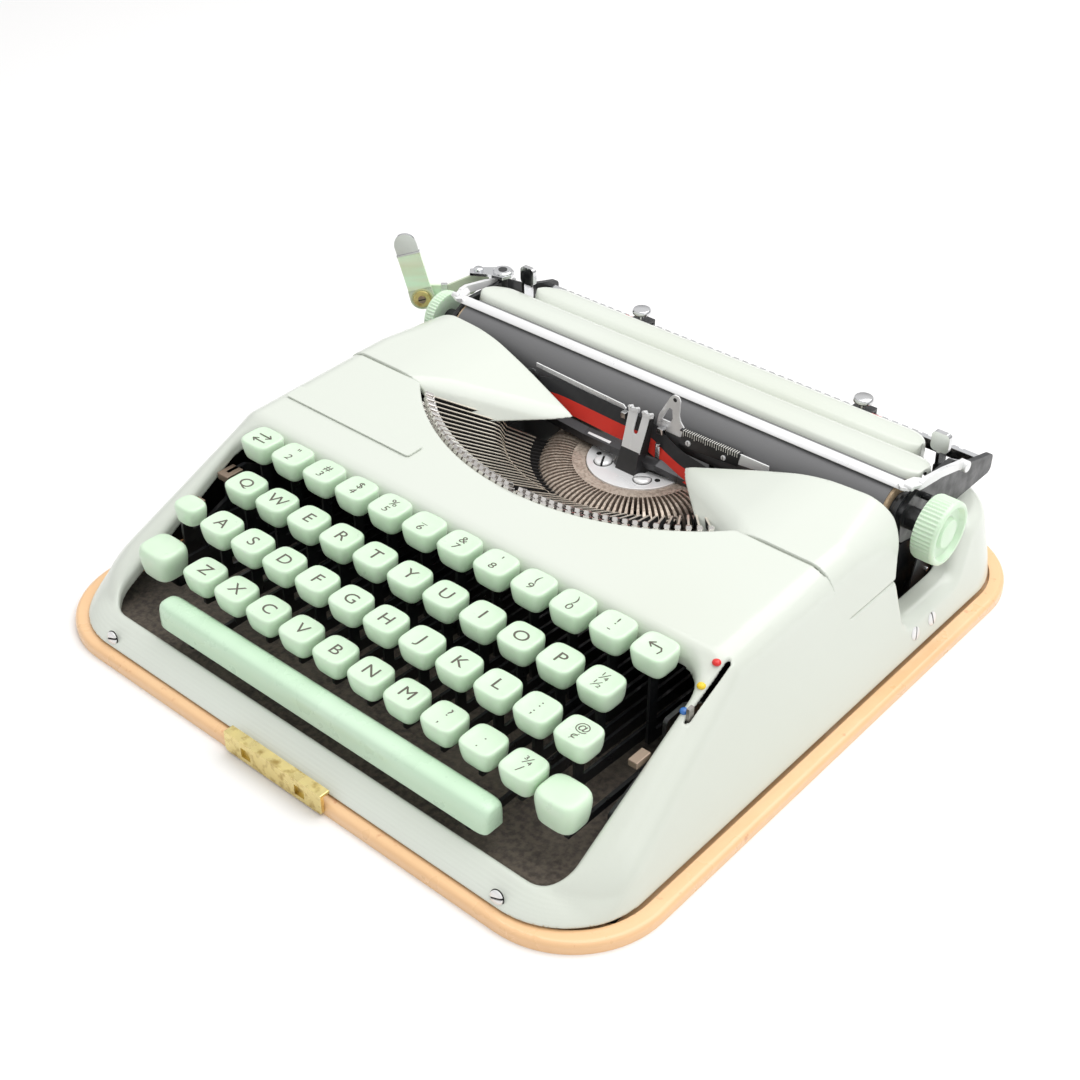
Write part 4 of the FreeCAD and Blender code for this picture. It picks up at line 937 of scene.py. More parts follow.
def typebar(mesh, share, lowered=0.0):
    """Bar number share of the fan, -1 to 1: it leaves its slot, steps up halfway and ends in a type head."""
    slot, head = share * SLOT_FAN, share * HEAD_FAN
    reach = head_reach(head)
    leave = np.array(polar(slot)(PIVOT_R, 0, PIVOT_Z))
    tip = np.array(polar(head)(reach, 0, HEAD_Z - lowered))
    along = (tip - leave) / np.linalg.norm(tip - leave)
    across = np.cross(along, (0, 0, 1))
    across /= np.linalg.norm(across)
    up = np.cross(across, along)
    length = np.linalg.norm(tip - leave)
    path = [leave + along * part * length + up * rise for part, rise in BAR_BENDS]
    half = across * 0.42
    # Each bar's sides are painted shade, near black; past the first piece, a thin strip along its top is a
    # painted highlight.
    for k, (a, b) in enumerate(zip(path[:-1], path[1:])):
        way = (b - a) / np.linalg.norm(b - a)
        tall = np.cross(across, way) * 1.5
        lap = way * 0.15
        side = [a - tall - lap, b - tall + lap, b + tall + lap, a + tall - lap]
        mesh.rings([[p - half for p in side], [p + half for p in side]], 1)
        if k > 0:
            highlight_strip = [side[3], side[2], side[2] + tall * 0.2, side[3] + tall * 0.2]
            mesh.rings([[p - half for p in highlight_strip], [p + half for p in highlight_strip]], 0)
    type_head(mesh, path[-1], along, across, up, lowered > 0)


def type_head(mesh, tip, along, across, up, low_crown=False):
    """The slug at the end: two raised characters on a waisted block."""
    def at(s, t, n):
        return tip + along * s + across * t + up * n
    parts = ((-1.7, 1.7, 0.8, -4.6, 1.6), (-2.6, 2.3, 1.4, -1.6, 0.4),
                                         (-2.2, 2.3, 1.3, -4.8, -2.9), (-0.6, 3.2, 1.2, 0.9, 2.5))
    for start, stop, wide, low, high in parts[:3] if low_crown else parts:
        rings = []
        for t, inset in ((-wide, 0.35), (-wide + 0.35, 0.0), (wide - 0.35, 0.0), (wide, 0.35)):
            corners = [(start + inset, low + inset), (stop - inset, low + inset),
                       (stop - inset, high - inset),
                       (start + inset, high - inset)]
            rings.append([at(s, t, n) for s, n in corners])
        mesh.rings(rings, 2)


def make_typebars():
    finishes = [BAR_HIGHLIGHT, SIDE_SHADE, TYPE_METAL]
    bars = Mesh()
    for i in range(BAR_COUNT):
        share = 2 * i / (BAR_COUNT - 1) - 1
        if abs(share) > 0.001:
            typebar(bars, share)
    ride(bars.make("typebar_fan", finishes), "machine", "steel", "typebars")
    bar = Mesh()
    typebar(bar, 0.0, 2.0)
    ride(bar.make("typebar_h_shape", finishes), "typebar_h", "steel", "typebar_h")


def make_type_rest():
    rest = Mesh()
    for low, high, r0, r1, mark in ((52.4, 55.0, 108.0, 121.5, 0), (55.0, 56.6, 111.6, 119.6, 1)):
        rings = []
        for t in np.linspace(math.radians(-44), math.radians(44), 61):
            rings.append([(r * math.sin(t), ARC_Y - r * math.cos(t), h)
                          for r, h in ((r0, low), (r1, low), (r1, high), (r0, high))])
        rest.rings(rings, mark)
    ride(rest.make("rest_band", [SHADE_BLACK, FINISHES["felt"]]), "machine", "dark_steel", "type_rest")


# ---------------------------------------------------------------- printing point
GUIDE_X = 1.2


def make_type_guide():
    """Bright forked plate that leans back on a dark bracket."""
    guide = Mesh()
    low, high = Vector((0, 53.8, 46.6)), Vector((0, 60.3, 63.6))
    up = (high - low).normalized()
    out = Vector((1, 0, 0)).cross(up)
    length = (high - low).length

    def place(u, v, w):
        return Vector((GUIDE_X + u, low.y, low.z)) + up * v - out * w
    wide = 6.1
    outline = [(-wide + 1.2, 0), (wide - 1.0, 0), (wide, length - 0.6), (1.5, length - 0.4),
               (1.35, length - 9.2),
               (0.7, length - 10.2), (-0.5, length - 10.2), (-1.2, length - 9.2), (-1.35, length - 0.4),
               (-wide, length - 0.8)]
    left = [outline[0], (-0.5, 0), outline[6], outline[7], outline[8], outline[9]]
    right = [(-0.5, 0), outline[1], outline[2], outline[3], outline[4], outline[5], outline[6]]
    guide.prism(left, place, 0.9)
    guide.prism(right, place, 0.9)
    for u0, u1 in ((-wide - 0.1, -1.3), (1.5, wide + 0.1)):
        lip = [(u0, length - 1.2), (u1, length - 1.2), (u1, length + 0.5), (u0, length + 0.5)]
        guide.prism(lip, lambda u, v, w: place(u, v, w - 0.4), 2.2)
        for u in (u0 + 0.7, u1 - 0.7):
            guide.rod(place(u, length + 0.6, 1.4), place(u, length + 0.6, -1.4), 0.75, 0, 10)
    # The side flange is near black: painted shade on the guide's turned-away edge.
    side = [(0, 0.6), (0, length), (2.8, length), (5.2, 0.6)]
    guide.prism(side, lambda u, v, w: place(wide - 0.5 - w + 0.5, v, u), 0.8, 1)
    face = [(-5.2, 0), (5.9, 0), (4.9, 9.8), (-4.9, 9.8)]
    guide.rings([[(GUIDE_X + u, 50.2 + v * 0.37, 37.4 + v) for u, v in face],
                 [(GUIDE_X + u, 56.6 + v * 0.2, 37.4 + v) for u, v in face]], 2)
    guide.block((GUIDE_X - 4.5, 56.0, 30), (GUIDE_X + 4.5, 60.5, 46), 2)
    arm = [(-62.0, 57.0, 40.6), (-27.0, 55.4, 39.6), (-10.0, 54.4, 40.4), (GUIDE_X, 54.4, 41.0)]
    for (x0, y0, z0), (x1, y1, z1) in zip(arm[:-1], arm[1:]):
        guide.rings([[(x0, y0, z0), (x0, y0 + 4.6, z0 + 1.2), (x0, y0 + 4.6, z0 + 5.0), (x0, y0, z0 + 3.6)],
                     [(x1, y1, z1), (x1, y1 + 4.6, z1 + 1.2), (x1, y1 + 4.6, z1 + 5.0), (x1, y1, z1 + 3.6)]],
                    2)
    # A thin bright strip on the left arm's top is a painted highlight.
    guide.rings([[(-25.0, 56.4, 43.35), (-25.0, 57.6, 43.75), (-25.0, 57.6, 44.05), (-25.0, 56.4, 43.65)],
                 [(-11.5, 55.4, 44.1), (-11.5, 56.8, 44.5), (-11.5, 56.8, 44.8), (-11.5, 55.4, 44.4)]], 0)
    arm = [(GUIDE_X + 4, 55.2, 39.6), (13.5, 56.0, 40.0), (24.0, 58.0, 38.0), (46.0, 60.0, 35.6)]
    for (x0, y0, z0), (x1, y1, z1) in zip(arm[:-1], arm[1:]):
        guide.rings([[(x0, y0, z0), (x0, y0 + 4.0, z0 + 1.0), (x0, y0 + 4.0, z0 + 4.4), (x0, y0, z0 + 3.0)],
                     [(x1, y1, z1), (x1, y1 + 4.0, z1 + 1.0), (x1, y1 + 4.0, z1 + 4.4), (x1, y1, z1 + 3.0)]],
                    2)
    ride(guide.make("type_guide_fork", [BRIGHT_PLATE, SIDE_SHADE, GUIDE_GREY], 0.15), "machine",
         "bright_steel", "type_guide")


def make_vibrator():
    """Carrier that lifts the ribbon: a grey stem behind the guide and two bright tabs beside it."""
    fork = Mesh()
    fork.block((-3.0, 64.3, 34.0), (3.0, 65.0, 42.0), 1)
    fork.block((-10.8, 64.3, 41.0), (12.4, 65.0, 43.6), 1)
    for x0, x1 in ((-10.8, -8.4), (9.4, 12.4)):
        fork.block((x0, 64.3, 43.0), (x1, 65.0, 57.2), 0)
        fork.block((x0, 62.2, 57.2), (x1, 65.0, 58.0), 0)
        fork.block((x0, 61.8, 55.2), (x1, 62.5, 58.0), 0)
    fork.block((10.2, 60.0, 43.4), (12.6, 60.6, 50.6), 0)
    fork.rod((11.4, 60.3, 50.4), (11.4, 60.3, 51.6), 1.2, 0, 12)
    fork.block((10.2, 60.0, 42.6), (12.6, 65.0, 43.6), 0)
    ride(fork.make("ribbon_carrier", [FINISHES["bright_steel"], FINISHES["dark_steel"]], 0.15), "vibrator",
         "bright_steel",
         "ribbon_vibrator")


def make_card_holder():
    holder = Mesh()

    def upright(u, v, w):
        return (u, 65.2 + w, v)
    outer = [(6.6, 57.2), (8.2, 55.8), (19.8, 55.8), (21.9, 60.2), (19.2, 63.2), (18.3, 66.0), (18.6, 73.6),
             (17.4, 75.2),
             (15.0, 75.3), (13.4, 73.8), (11.0, 69.2), (7.4, 62.6)]
    window = [(9.4, 61.0), (14.0, 61.0), (15.0, 63.4), (14.6, 67.6), (13.2, 68.2), (12.2, 67.0)]
    hub = (15.8, 73.0)
    flat_with_window(holder, outer, window, upright, 0.7)
    holder.rings([[(hub[0] + 0.95 * math.cos(t), 65.1, hub[1] + 0.95 * math.sin(t)) for t in turn(16)],
                  [(hub[0] + 0.95 * math.cos(t), 65.25, hub[1] + 0.95 * math.sin(t)) for t in turn(16)]], 1)
    scale = [(20.0, 52.4), (50.5, 55.0), (52.0, 61.2), (21.8, 60.6)]
    holder.prism(scale, lambda u, v, w: (u, 63.6 + w, v), 1.3, 1)
    top = [(20.4, 60.4), (51.6, 61.0), (51.6, 61.6), (20.4, 61.0)]
    holder.prism(top, lambda u, v, w: (u, 63.4 + w, v), 2.6, 1)
    for i in range(25):
        x = 22.2 + 1.17 * i
        tall = 2.4 if i % 5 == 0 else 1.7
        z = 60.7 + 0.02 * (x - 21)
        holder.block((x, 63.3, z - tall), (x + 0.32, 63.42, z), 2)
        holder.block((x, 63.3, z + 0.1), (x + 0.32, 65.4, z + 0.4), 2)
    for x, z, r in ((25.2, 56.0, 1.35), (43.8, 56.6, 1.2)):
        holder.rod((x, 63.7, z), (x, 62.7, z), r, 0, 18, 0.25)
        # The dark bar across each disc is a screw slot with its shade painted, in the scale's black.
        holder.block((x - 0.12, 62.6, z - r * 0.8), (x + 0.12, 62.75, z + r * 0.8), 1)
    tip = [(51.0, 56.0), (66.0, 57.6), (66.0, 61.4), (51.4, 61.3)]
    holder.prism(tip, lambda u, v, w: (u, 63.9 + w, v), 0.7, 0)
    bar = [(-63.0, 59.7), (-19.5, 57.3), (-13.0, 55.6), (-11.2, 55.8), (-10.6, 58.2), (-12.2, 59.6),
           (-19.5, 59.9), (-63.0, 61.6)]
    holder.prism(bar, upright, 0.7, 0)
    ride(holder.make("paper_fingers", [BRIGHT_PLATE, BLACK_SCALE, SCALE_WHITE], 0.12), "machine",
         "bright_steel",
         "card_holder")


def flat_with_window(mesh, outer, window, place, thickness, mark=0):
    """A plate with one opening, as a band of quads between outline and opening."""
    count = 48

    def walk(corners):
        loop = corners + corners[:1]
        lengths = [0.0]
        for a, b in zip(loop[:-1], loop[1:]):
            lengths.append(lengths[-1] + math.dist(a, b))
        u = np.interp(np.linspace(0, lengths[-1], count, endpoint=False), lengths, [p[0] for p in loop])
        v = np.interp(np.linspace(0, lengths[-1], count, endpoint=False), lengths, [p[1] for p in loop])
        return list(zip(u, v))
    middle = np.mean(window, axis=0)

    def by_angle(corners):
        pts = walk(corners)
        angles = [math.atan2(v - middle[1], u - middle[0]) for u, v in pts]
        start = int(np.argmin(angles))
        return pts[start:] + pts[:start]
    a, b = by_angle(outer), by_angle(window)
    mesh.rings([[place(u, v, 0) for u, v in a], [place(u, v, thickness) for u, v in a],
                [place(u, v, thickness) for u, v in b], [place(u, v, 0) for u, v in b]], mark, loop=True)


RIBBON_PATH = [                    # x, then y and z of the upper edge, y and z of the lower edge
    (-80.0, 44.0, 55.0, 43.0, 43.0), (-64.0, 60.8, 57.4, 58.2, 45.4), (-48.0, 64.6, 58.6, 60.4, 46.4),
    (-28.0, 64.6, 58.2, 60.2, 45.9), (-10.0, 64.6, 57.8, 60.0, 45.2), (0.0, 64.6, 57.6, 61.2, 45.0),
    (7.0, 64.4, 57.4, 60.6, 44.8), (14.0, 63.0, 54.6, 59.6, 42.4), (24.0, 61.6, 51.6, 58.6, 39.4),
    (38.0, 59.8, 51.0, 57.0, 38.6), (80.0, 44.0, 54.0, 43.0, 42.0),
]


def make_ribbon():
    tape = Mesh()
    keys = np.array(RIBBON_PATH)
    fine = np.linspace(0, len(keys) - 1, 61)
    rows = np.stack([np.interp(fine, np.arange(len(keys)), keys[:, k]) for k in range(5)], axis=1)
    for _ in range(3):
        rows[1:-1] = (rows[:-2] + 2 * rows[1:-1] + rows[2:]) / 4
    for low, high, mark in ((0.0, 0.5, 0), (0.5, 1.0, 1)):
        rings = []
        for x, ty, tz, by, bz in rows:
            a = (x, ty + (by - ty) * low, tz + (bz - tz) * low)
            b = (x, ty + (by - ty) * high, tz + (bz - tz) * high)
            rings.append([a, b, (b[0], b[1] + 0.18, b[2] + 0.02), (a[0], a[1] + 0.18, a[2] + 0.02)])
        tape.rings(rings, mark)
    ride(tape.make("ribbon_tape", [RIBBON_BLACK, RIBBON_RED]), "machine", "ribbon_cloth", "ribbon")
    hooks = Mesh()
    loop = [(-61.5 + 2.9 * math.cos(t), 60.6 + 0.8 * math.cos(t),
             57.5 + 3.4 * math.sin(t)) for t in turn(20)]
    for a, b in zip(loop, loop[1:] + loop[:1]):
        hooks.rod(a, b, 0.65, 0, 8)
    ride(hooks.make("ribbon_eye", [FINISHES["dark_steel"]]), "machine", "dark_steel")


# ---------------------------------------------------------------- carriage
PLATEN_Y = 80.5
PLATEN_Z = 54.0


def cover_plate(mesh, half_x, corner, y_range, crown, low, mark=0):
    """Pressed cover, long in x: rounded corners in plan, a crowned top and a hollow underside."""
    y0, y1 = y_range
    ys = [p[0] for p in crown]
    zs = [p[1] for p in crown]
    stations = []
    for i in range(9):
        t = math.radians(90 * i / 8)
        stations.append((half_x - corner * (1 - math.sin(t)), corner * (1 - math.cos(t))))
    stations = sorted({(round(x, 4), round(inset, 4)) for x, inset in stations})
    row = [(-x, inset) for x, inset in reversed(stations)] + stations
    rings = []
    for x, inset in row:
        front, rear = y0 + inset * 0.5, y1 - inset
        ring = []
        for k in range(17):
            y = front + (rear - front) * k / 16
            ring.append((x, y, float(np.interp(y0 + (y1 - y0) * k / 16, ys, zs))))
        ring.append((x, rear, low))
        ring.append((x, rear - 1.2, low))
        for k in range(17):
            y = rear - 1.2 - (rear - front - 2.4) * k / 16
            ring.append((x, y, float(np.interp(y1 - (y1 - y0) * k / 16, ys, zs)) - 1.4))
        ring.append((x, front + 1.2, low + 2))
        ring.append((x, front, low + 2))
        rings.append(ring)
    mesh.rings(rings, mark)


def make_carriage_covers():
    table = Mesh()
    crown = [(86.6, 65.4), (87.0, 67.0), (88.2, 68.3), (90.2, 68.9), (96.0, 68.9), (101.0, 68.2),
             (104.6, 66.8),
             (106.6, 64.8), (107.4, 62.4)]
    cover_plate(table, 121.0, 9.0, (86.6, 107.4), crown, 58.0)
    table.block((-112, 87.4, 47.6), (112, 88.6, 66.0))
    ride(table.make("paper_table_shell", [FINISHES["shell_paint"]], 0.3), "carriage", "shell_paint",
         "paper_table")
    cover = Mesh()
    crown = [(109.6, 57.0), (110.2, 59.6), (111.8, 62.0), (114.6, 63.8), (118.6, 64.5), (123.0, 64.2),
             (126.4, 62.8),
             (128.4, 60.4), (129.0, 57.6)]
    cover_plate(cover, 107.0, 11.0, (109.6, 129.0), crown, 52.0)
    cover.block((-100, 111.0, 45.0), (100, 127.6, 46.2))
    for side in (-1, 1):
        cover.block((side * 96 - 2, 111.0, 45.0), (side * 96 + 2, 127.6, 60.0))
    ride(cover.make("carriage_cover_shell", [FINISHES["shell_paint"]], 0.3), "carriage", "shell_paint",
         "carriage_cover")


def make_bail():
    """White-bright strip over the platen, on a cranked arm at each end."""
    bail = Mesh()
    strip = [(75.6, 68.2), (76.0, 68.8), (78.4, 69.9), (80.4, 70.0), (80.8, 69.5), (80.2, 68.9),
             (78.4, 68.6), (76.2, 67.8)]
    bail.rings([[(x, y, z) for y, z in strip] for x in (-122.5, 122.5)])
    for side in (-1, 1):
        outline = [(80.0, 68.4), (82.0, 71.2), (86.0, 71.6), (100.0, 69.0), (118.0, 64.2), (120.6, 61.6),
                   (118.6, 59.6),
                   (112.0, 62.0), (98.0, 65.6), (84.0, 67.6)]
        bail.prism(outline, lambda u, v, w, s=side: (s * (125.0 + w), u, v), 2.0)
        shelf = [(119.0, 76.0), (121.4, 74.0), (124.6, 75.4), (127.0, 82.0), (125.0, 86.0), (121.4, 84.0)]
        bail.prism([(side * u, v) for u, v in shelf], lambda u, v, w: (u, v, 69.2 + w), 1.5)
        bail.rod((side * 124.4, 118.0, 61.4), (side * 128.6, 118.0, 61.4), 2.6, 0, 20, 0.3)
        bail.rod((side * 122.0, 76.6, 70.6), (side * 126.0, 76.6, 70.6), 1.4, 0, 14, 0.4)
    ride(bail.make("bail_strip", [BRIGHT_PLATE], 0.2), "bail", "bright_steel", "paper_bail")


def knob(mesh, side, radius, outer):
    """Fluted drum, dished face, raised centre disc."""
    inner = 132.0
    sides = 192

    def ring(r, x, flute):
        out = []
        for k, t in enumerate(turn(sides)):
            wave = (math.cos(4 * math.pi * k / 8) + 1) / 2
            reach = r - flute * wave
            out.append((side * x, PLATEN_Y + reach * math.cos(t), PLATEN_Z + reach * math.sin(t)))
        return out
    profile = [(4.0, inner + 0.6, 0), (radius - 1.6, inner + 0.2, 0), (radius - 0.5, inner + 0.6, 0.1),
               (radius, inner + 1.6, 0.55), (radius, outer - 2.2, 0.55), (radius - 0.1, outer - 1.6, 0.05),
               (radius - 0.35, outer - 0.6, 0), (radius - 0.9, outer - 0.12, 0), (radius - 1.6, outer, 0),
               (radius - 2.3, outer - 0.25, 0), (radius - 2.8, outer - 1.2, 0),
               (radius - 3.4, outer - 2.3, 0),
               (radius - 4.6, outer - 2.7, 0), (7.0, outer - 2.6, 0), (6.6, outer - 2.2, 0),
               (6.4, outer - 1.3, 0),
               (6.0, outer - 0.9, 0), (3.0, outer - 0.75, 0), (0.3, outer - 0.72, 0)]
    mesh.rings([ring(r, x, flute) for r, x, flute in profile])


def make_platen_ends():
    for side, radius, outer, name, node in ((-1, 12.5, 138.5, "left_knob_plastic", "left_knob"),
                                            (1, 14.0, 143.0, "right_knob_plastic", "right_knob")):
        drum = Mesh()
        knob(drum, side, radius, outer)
        ride(drum.make(name, [FINISHES["key_plastic"]]), "platen", "key_plastic", node)
    ends = Mesh()
    for side in (-1, 1):
        for r0, r1, x0, x1, mark in ((13.2, 13.2, 112.0, 116.6, 0), (13.3, 12.2, 116.6, 117.6, 1),
                                     (9.0, 8.4, 117.4, 122.0, 2),
                                     (5.0, 4.6, 121.5, 132.6, 2), (11.2, 11.2, 120.6, 122.4, 2)):
            ends.rod((side * x0, PLATEN_Y, PLATEN_Z), (side * x1, PLATEN_Y, PLATEN_Z), r0, mark, 64, 0.0, r1)
    ride(ends.make("platen_end_rings", [FINISHES["rubber"], FINISHES["core"], FINISHES["dark_steel"]], 0.3),
         "platen",
         "rubber")


def round_button(mesh, at, radius):
    x, y, z = at
    mesh.lathe([(1.6, z - 8), (1.6, z - 3.4), (radius * 0.75, z - 3.2), (radius, z - 2.6), (radius, z - 1.4),
                (radius * 0.86, z - 0.5), (radius * 0.5, z - 0.1), (0.2, z)], lambda u, v,
               h: (x + u, y + v, h), 32)


def make_margin_stops():
    for side, body in ((-1, "left_stop"), (1, "right_stop")):
        stop = Mesh()
        low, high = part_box(body.replace("_stop", "_margin_stop"))
        x = (low.x + high.x) / 2 / MM
        y = 144.0
        round_button(stop, (x, y - 1.0, 58.6), 4.7)
        stop.block((x - 5.0, 140.4, 44.2), (x + 5.0, 141.8, 51.4), 1)
        stop.block((x - 5.0, 146.2, 44.2), (x + 5.0, 147.6, 51.4), 1)
        stop.block((x - 5.0, 140.4, 50.8), (x + 5.0, 147.6, 52.2), 1)
        stop.block((x + side * 7.0 - 3.0, 141.0, 50.7), (x + side * 7.0 + 3.0, 143.4, 51.5), 2)
        finishes = [FINISHES["bright_steel"], FINISHES["dark_steel"], DOT_RED]
        ride(stop.make(body + "_button", finishes, 0.2), body, "bright_steel",
             body.replace("_stop", "_margin_stop"))


FINGER_PIVOT = (-154.0, 84.0, 57.0)
FINGER_TURN = math.radians(41.0)
FINGER_LEAN = math.radians(14.0)


def at_finger(u, n, v, leaning=True):
    """u across the finger, n towards its face, v along it, from the finger's pivot."""
    if leaning:
        across, along = math.cos(FINGER_LEAN), math.sin(FINGER_LEAN)
        u, v = u * across - v * along, u * along + v * across
    c, s = math.cos(FINGER_TURN), math.sin(FINGER_TURN)
    x, y, z = FINGER_PIVOT
    return (x + u * c + n * s, y + u * s - n * c, z + v)


def make_finger():
    finger = Mesh()

    def blade(u, v, w):
        return at_finger(u, 0.7 + w, v)
    arch = [(5.5 * math.cos(t), 29.0 + 6.0 * math.sin(t)) for t in np.linspace(0, math.pi, 19)]
    finger.prism([(-5.5, 23.8), (5.5, 23.8)] + arch, blade, 1.6, 0)
    finger.prism([(-5.6, 4.5), (5.6, 4.5), (5.6, 24.4), (-5.6, 24.4)], lambda u, v,
                 w: at_finger(u, 0.5 + w, v), 2.2, 1)
    finger.prism([(-5.8, 24.0), (5.8, 24.0), (5.8, 24.8), (-5.8, 24.8)], lambda u, v,
                 w: at_finger(u, 0.5 + w, v), 2.3, 0)
    heel = [(6.0 * math.cos(t), 6.0 * math.sin(t)) for t in np.linspace(math.pi, 2 * math.pi, 19)]
    finger.prism([(5.8, 5.2), (-5.8, 5.2)] + heel, blade, 2.0, 2)
    for radius, near, far, mark in ((5.3, 2.6, 3.2, 3), (4.4, 3.1, 3.8, 4), (2.0, 3.7, 4.4, 6)):
        disc = [(radius * math.cos(t), radius * math.sin(t)) for t in turn(32)]
        finger.rings([[at_finger(u, near, v) for u, v in disc],
                      [at_finger(u * 0.94, far, v * 0.94) for u, v in disc]], mark)
    # A flat near-black bar on the boss is a screw slot with its shade painted.
    finger.prism([(-1.9, -0.3), (1.9, -0.3), (1.9, 0.3), (-1.9, 0.3)], lambda u, v,
                 w: at_finger(u, 4.38 + w, v), 0.08, 5)
    finishes = [FINISHES["bright_steel"], STRIPED, GREEN_GREY, OLIVE, FINISHES["brass"], SHADE_BLACK,
                BROWN_STEEL]
    ride(finger.make("finger_blade", finishes, 0.35), "finger", "bright_steel", "lever_finger")


def make_return_lever():
    lever = Mesh()
    sleeve = [(-4.8, -4.6), (9.4, -4.6), (9.4, 5.6), (-4.8, 5.6)]
    lever.prism(sleeve, lambda u, v, w: at_finger(u, -2.4 + w, v, False), 2.0, 1)
    lever.prism([(9.2, -4.8), (12.4, -4.8), (12.4, 6.0), (9.2, 6.0)], lambda u, v,
                w: at_finger(u, -2.6 + w, v, False), 2.4, 0)
    lever.prism([(12.2, -3.6), (25.0, 0.8), (33.0, 8.6), (33.0, 12.4), (25.0, 11.0), (12.2, 5.2)],
                lambda u, v, w: at_finger(u, -2.4 + w, v, False), 1.6, 2)
    lever.rod(at_finger(0, 2.4, 0, False), at_finger(0, -3.0, 0, False), 2.0, 3, 20)
    pivot = (-123.0, 109.0, 71.0)
    plan = [(-119.0, 104.4), (-117.6, 109.0), (-119.6, 113.6), (-125.0, 114.2), (-134.0, 106.6),
            (-137.6, 101.0),
            (-134.6, 97.6), (-127.0, 102.4)]
    lever.prism(plan, lambda u, v, w: (u, v, 69.2 + w), 1.6, 0)
    lever.lathe([(4.9, 70.6), (4.9, 71.6), (4.3, 72.1), (0.3, 72.2)], lambda u, v,
                h: (pivot[0] + u, pivot[1] + v, h), 32)
    lever.lathe([(2.4, 70.6), (2.4, 72.0), (1.8, 72.5), (0.2, 72.6)], lambda u, v,
                h: (-133.0 + u, 102.4 + v, h), 24)
    # A flat near-black bar on the pivot is a screw slot with its shade painted.
    lever.block((-124.6, 108.8, 72.12), (-121.4, 109.2, 72.32), 4)
    finishes = [FINISHES["bright_steel"], STRIPED, GREEN_GREY, OLIVE, SHADE_BLACK]
    ride(lever.make("return_arm", finishes, 0.3), "return_lever", "bright_steel", "return_lever")


# ---------------------------------------------------------------- small parts of the machine
def make_dots():
    dots = Mesh()
    for y, mark in ((-52.5, 0), (-61.0, 1), (-70.5, 2)):
        deck = 59.6 - (-57.0 - y) * 46.6 / 81.0 if y < -57 else 59.6 + (y + 57.0) * 4.7 / 7.0
        dots.lathe([(1.6, deck - 1.0), (1.7, deck - 0.6), (1.5, deck), (1.0, deck + 0.35),
                    (0.3, deck + 0.5)],
                   lambda u, v, h: (124.6 + u, y + v, h), 24, mark)
    ride(dots.make("selector_dot_beads", [DOT_RED, DOT_YELLOW, DOT_BLUE]), "machine", "dots",
         "selector_dots")


def paint_inside_shade(obj, finish, s, field, depth=1.3):
    """Faces that lie well below a shell's outer surface take a second finish: painted shade, near black, on
    the shell's inner faces.
    """
    obj.data.materials.append(finish.material)
    centres = np.zeros(len(obj.data.polygons) * 3)
    obj.data.polygons.foreach_get("center", centres)
    deep = s.read(field, centres.reshape(-1, 3) / MM) < -depth
    obj.data.polygons.foreach_set("material_index", deep.astype(np.int32))


def make_well_tabs():
    """Two bare tabs at the ends of the key well and the small stops on the felt."""
    tabs = Mesh()
    tabs.block((-122.4, -75.0, 42.6), (-115.6, -66.0, 46.0))
    tabs.block((-122.4, -92.0, 36.0), (-117.8, -86.0, 39.4))
    tabs.block((118.4, -94.0, 38.4), (122.6, -86.0, 41.4))
    ride(tabs.make("well_tabs", [BROWN_STEEL], 0.4), "machine", "steel")
    plates = Mesh()
    for side in (-1, 1):
        outline = [(86.0, 15.0), (102.0, 15.0), (103.0, 26.0), (101.0, 32.0), (97.0, 35.0), (92.0, 34.0),
                   (89.0, 28.0)]
        plates.prism(outline, lambda u, v, w, x=side: (x * (125.6 + w), u, v), 0.8)
        plates.rod((side * 126.2, 99.0, 18.5), (side * 127.2, 99.0, 18.5), 1.3, 1, 16, 0.2)
    ride(plates.make("notch_plates", [GUIDE_GREY, FINISHES["bright_steel"]], 0.3), "machine", "dark_steel")


# ---------------------------------------------------------------- stage
CAMERA_AT = (374.3, -433.6, 442.3)
CAMERA_FORWARD = (-0.5323, 0.6103, -0.5866)


def make_camera():
    data = bpy.data.cameras.new("camera")
    data.lens = 55.61
    data.sensor_width = 36.0
    data.clip_start = 0.02
    camera = bpy.data.objects.new("camera", data)
    bpy.context.scene.collection.objects.link(camera)
    camera.location = Vector(CAMERA_AT) * MM
    camera.rotation_euler = Vector(CAMERA_FORWARD).to_track_quat("-Z", "Y").to_euler()
    bpy.context.scene.camera = camera


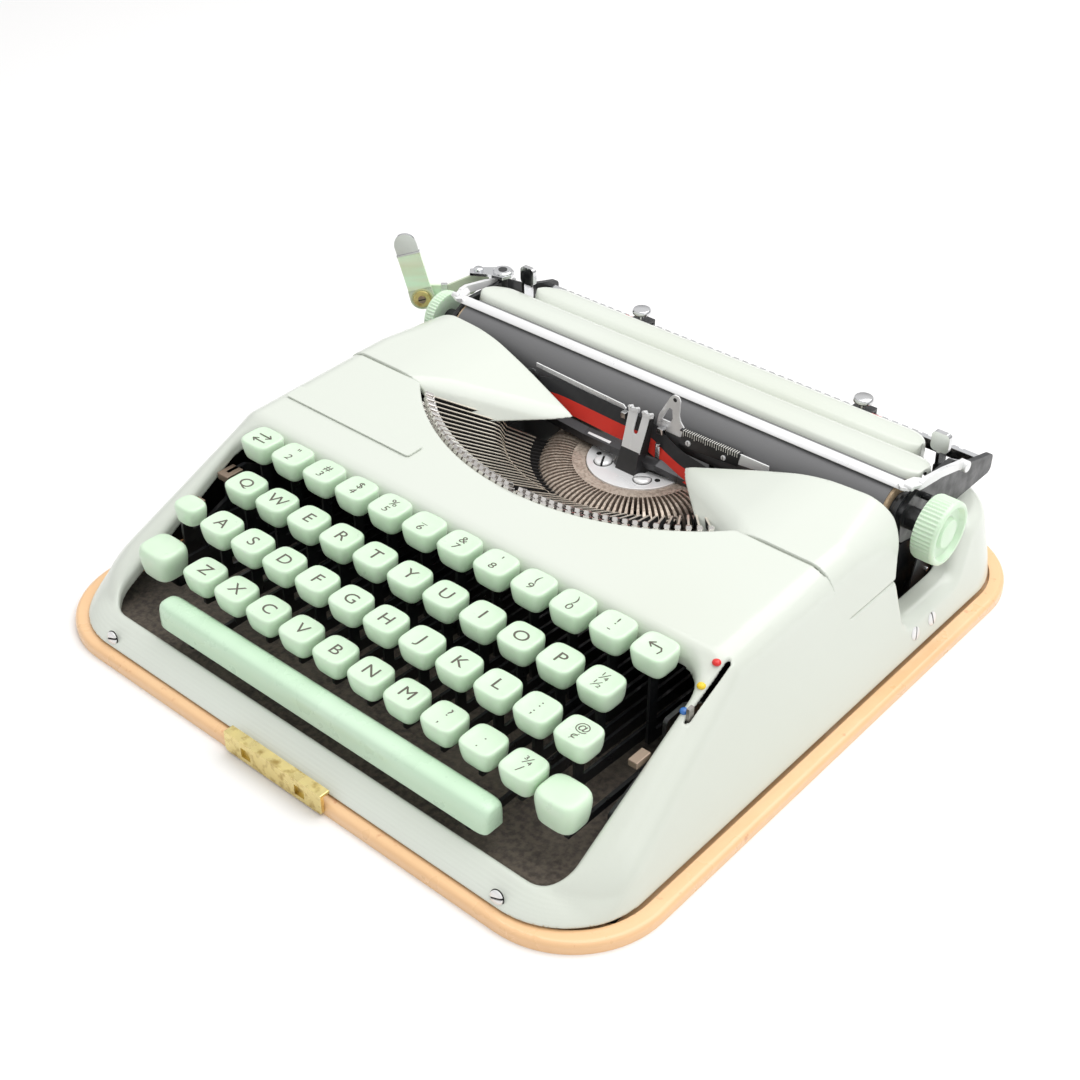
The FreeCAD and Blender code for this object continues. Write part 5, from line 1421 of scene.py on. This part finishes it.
def make_floor():
    mesh = bpy.data.meshes.new("floor")
    mesh.from_pydata([(-4, -4, 0), (4, -4, 0), (4, 4, 0), (-4, 4, 0)], [], [(0, 1, 2, 3)])
    floor = bpy.data.objects.new("floor", mesh)
    bpy.context.scene.collection.objects.link(floor)
    finish = Finish("floor_white", (0.92, 0.915, 0.91, 1), 0.6)
    mesh.materials.append(finish.material)


def area_light(name, at, towards, size, power, colour=(1, 1, 1)):
    data = bpy.data.lights.new(name, "AREA")
    data.shape = "RECTANGLE"
    data.size, data.size_y = size
    data.energy = power
    data.color = colour
    lamp = bpy.data.objects.new(name, data)
    bpy.context.scene.collection.objects.link(lamp)
    lamp.location = at
    lamp.rotation_euler = (Vector(towards) - Vector(at)).to_track_quat("-Z", "Y").to_euler()


def make_light():
    """A white room, bright overhead and darker towards the horizon, with two soft lamps."""
    world = bpy.data.worlds.new("studio")
    world.use_nodes = True
    tree = world.node_tree
    background = tree.nodes["Background"]
    background.inputs["Strength"].default_value = 0.80
    direction = tree.nodes.new("ShaderNodeTexCoord").outputs["Generated"]
    parts = tree.nodes.new("ShaderNodeSeparateXYZ")
    tree.links.new(direction, parts.inputs["Vector"])
    height = tree.nodes.new("ShaderNodeValToRGB")
    height.color_ramp.elements[0].position = 0.0
    height.color_ramp.elements[0].color = (0.42, 0.42, 0.43, 1)
    height.color_ramp.elements[1].position = 0.55
    height.color_ramp.elements[1].color = (1.0, 1.0, 1.0, 1)
    tree.links.new(parts.outputs["Z"], height.inputs["Fac"])
    tree.links.new(height.outputs["Color"], background.inputs["Color"])
    bpy.context.scene.world = world
    area_light("overhead", (0.25, 0.45, 1.3), (0, 0, 0), (1.5, 1.5), 15.0)
    area_light("right_side", (1.3, -0.1, 0.7), (0, 0, 0.03), (0.9, 0.7), 1.0)
    bpy.context.scene.view_settings.view_transform = "Standard"


# ---------------------------------------------------------------- assembly
make_camera()
make_light()
make_floor()
dress_cad_nodes()
make_keys()
make_shift_keys()
make_space_bar()
make_segment()
make_plate()
make_typebars()
make_type_rest()
make_type_guide()
make_vibrator()
make_card_holder()
make_ribbon()
make_carriage_covers()
make_bail()
make_platen_ends()
make_margin_stops()
make_finger()
make_return_lever()
make_dots()
make_well_tabs()
body_shell()
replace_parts(ribbon_cover()[0], "ribbon_cover")
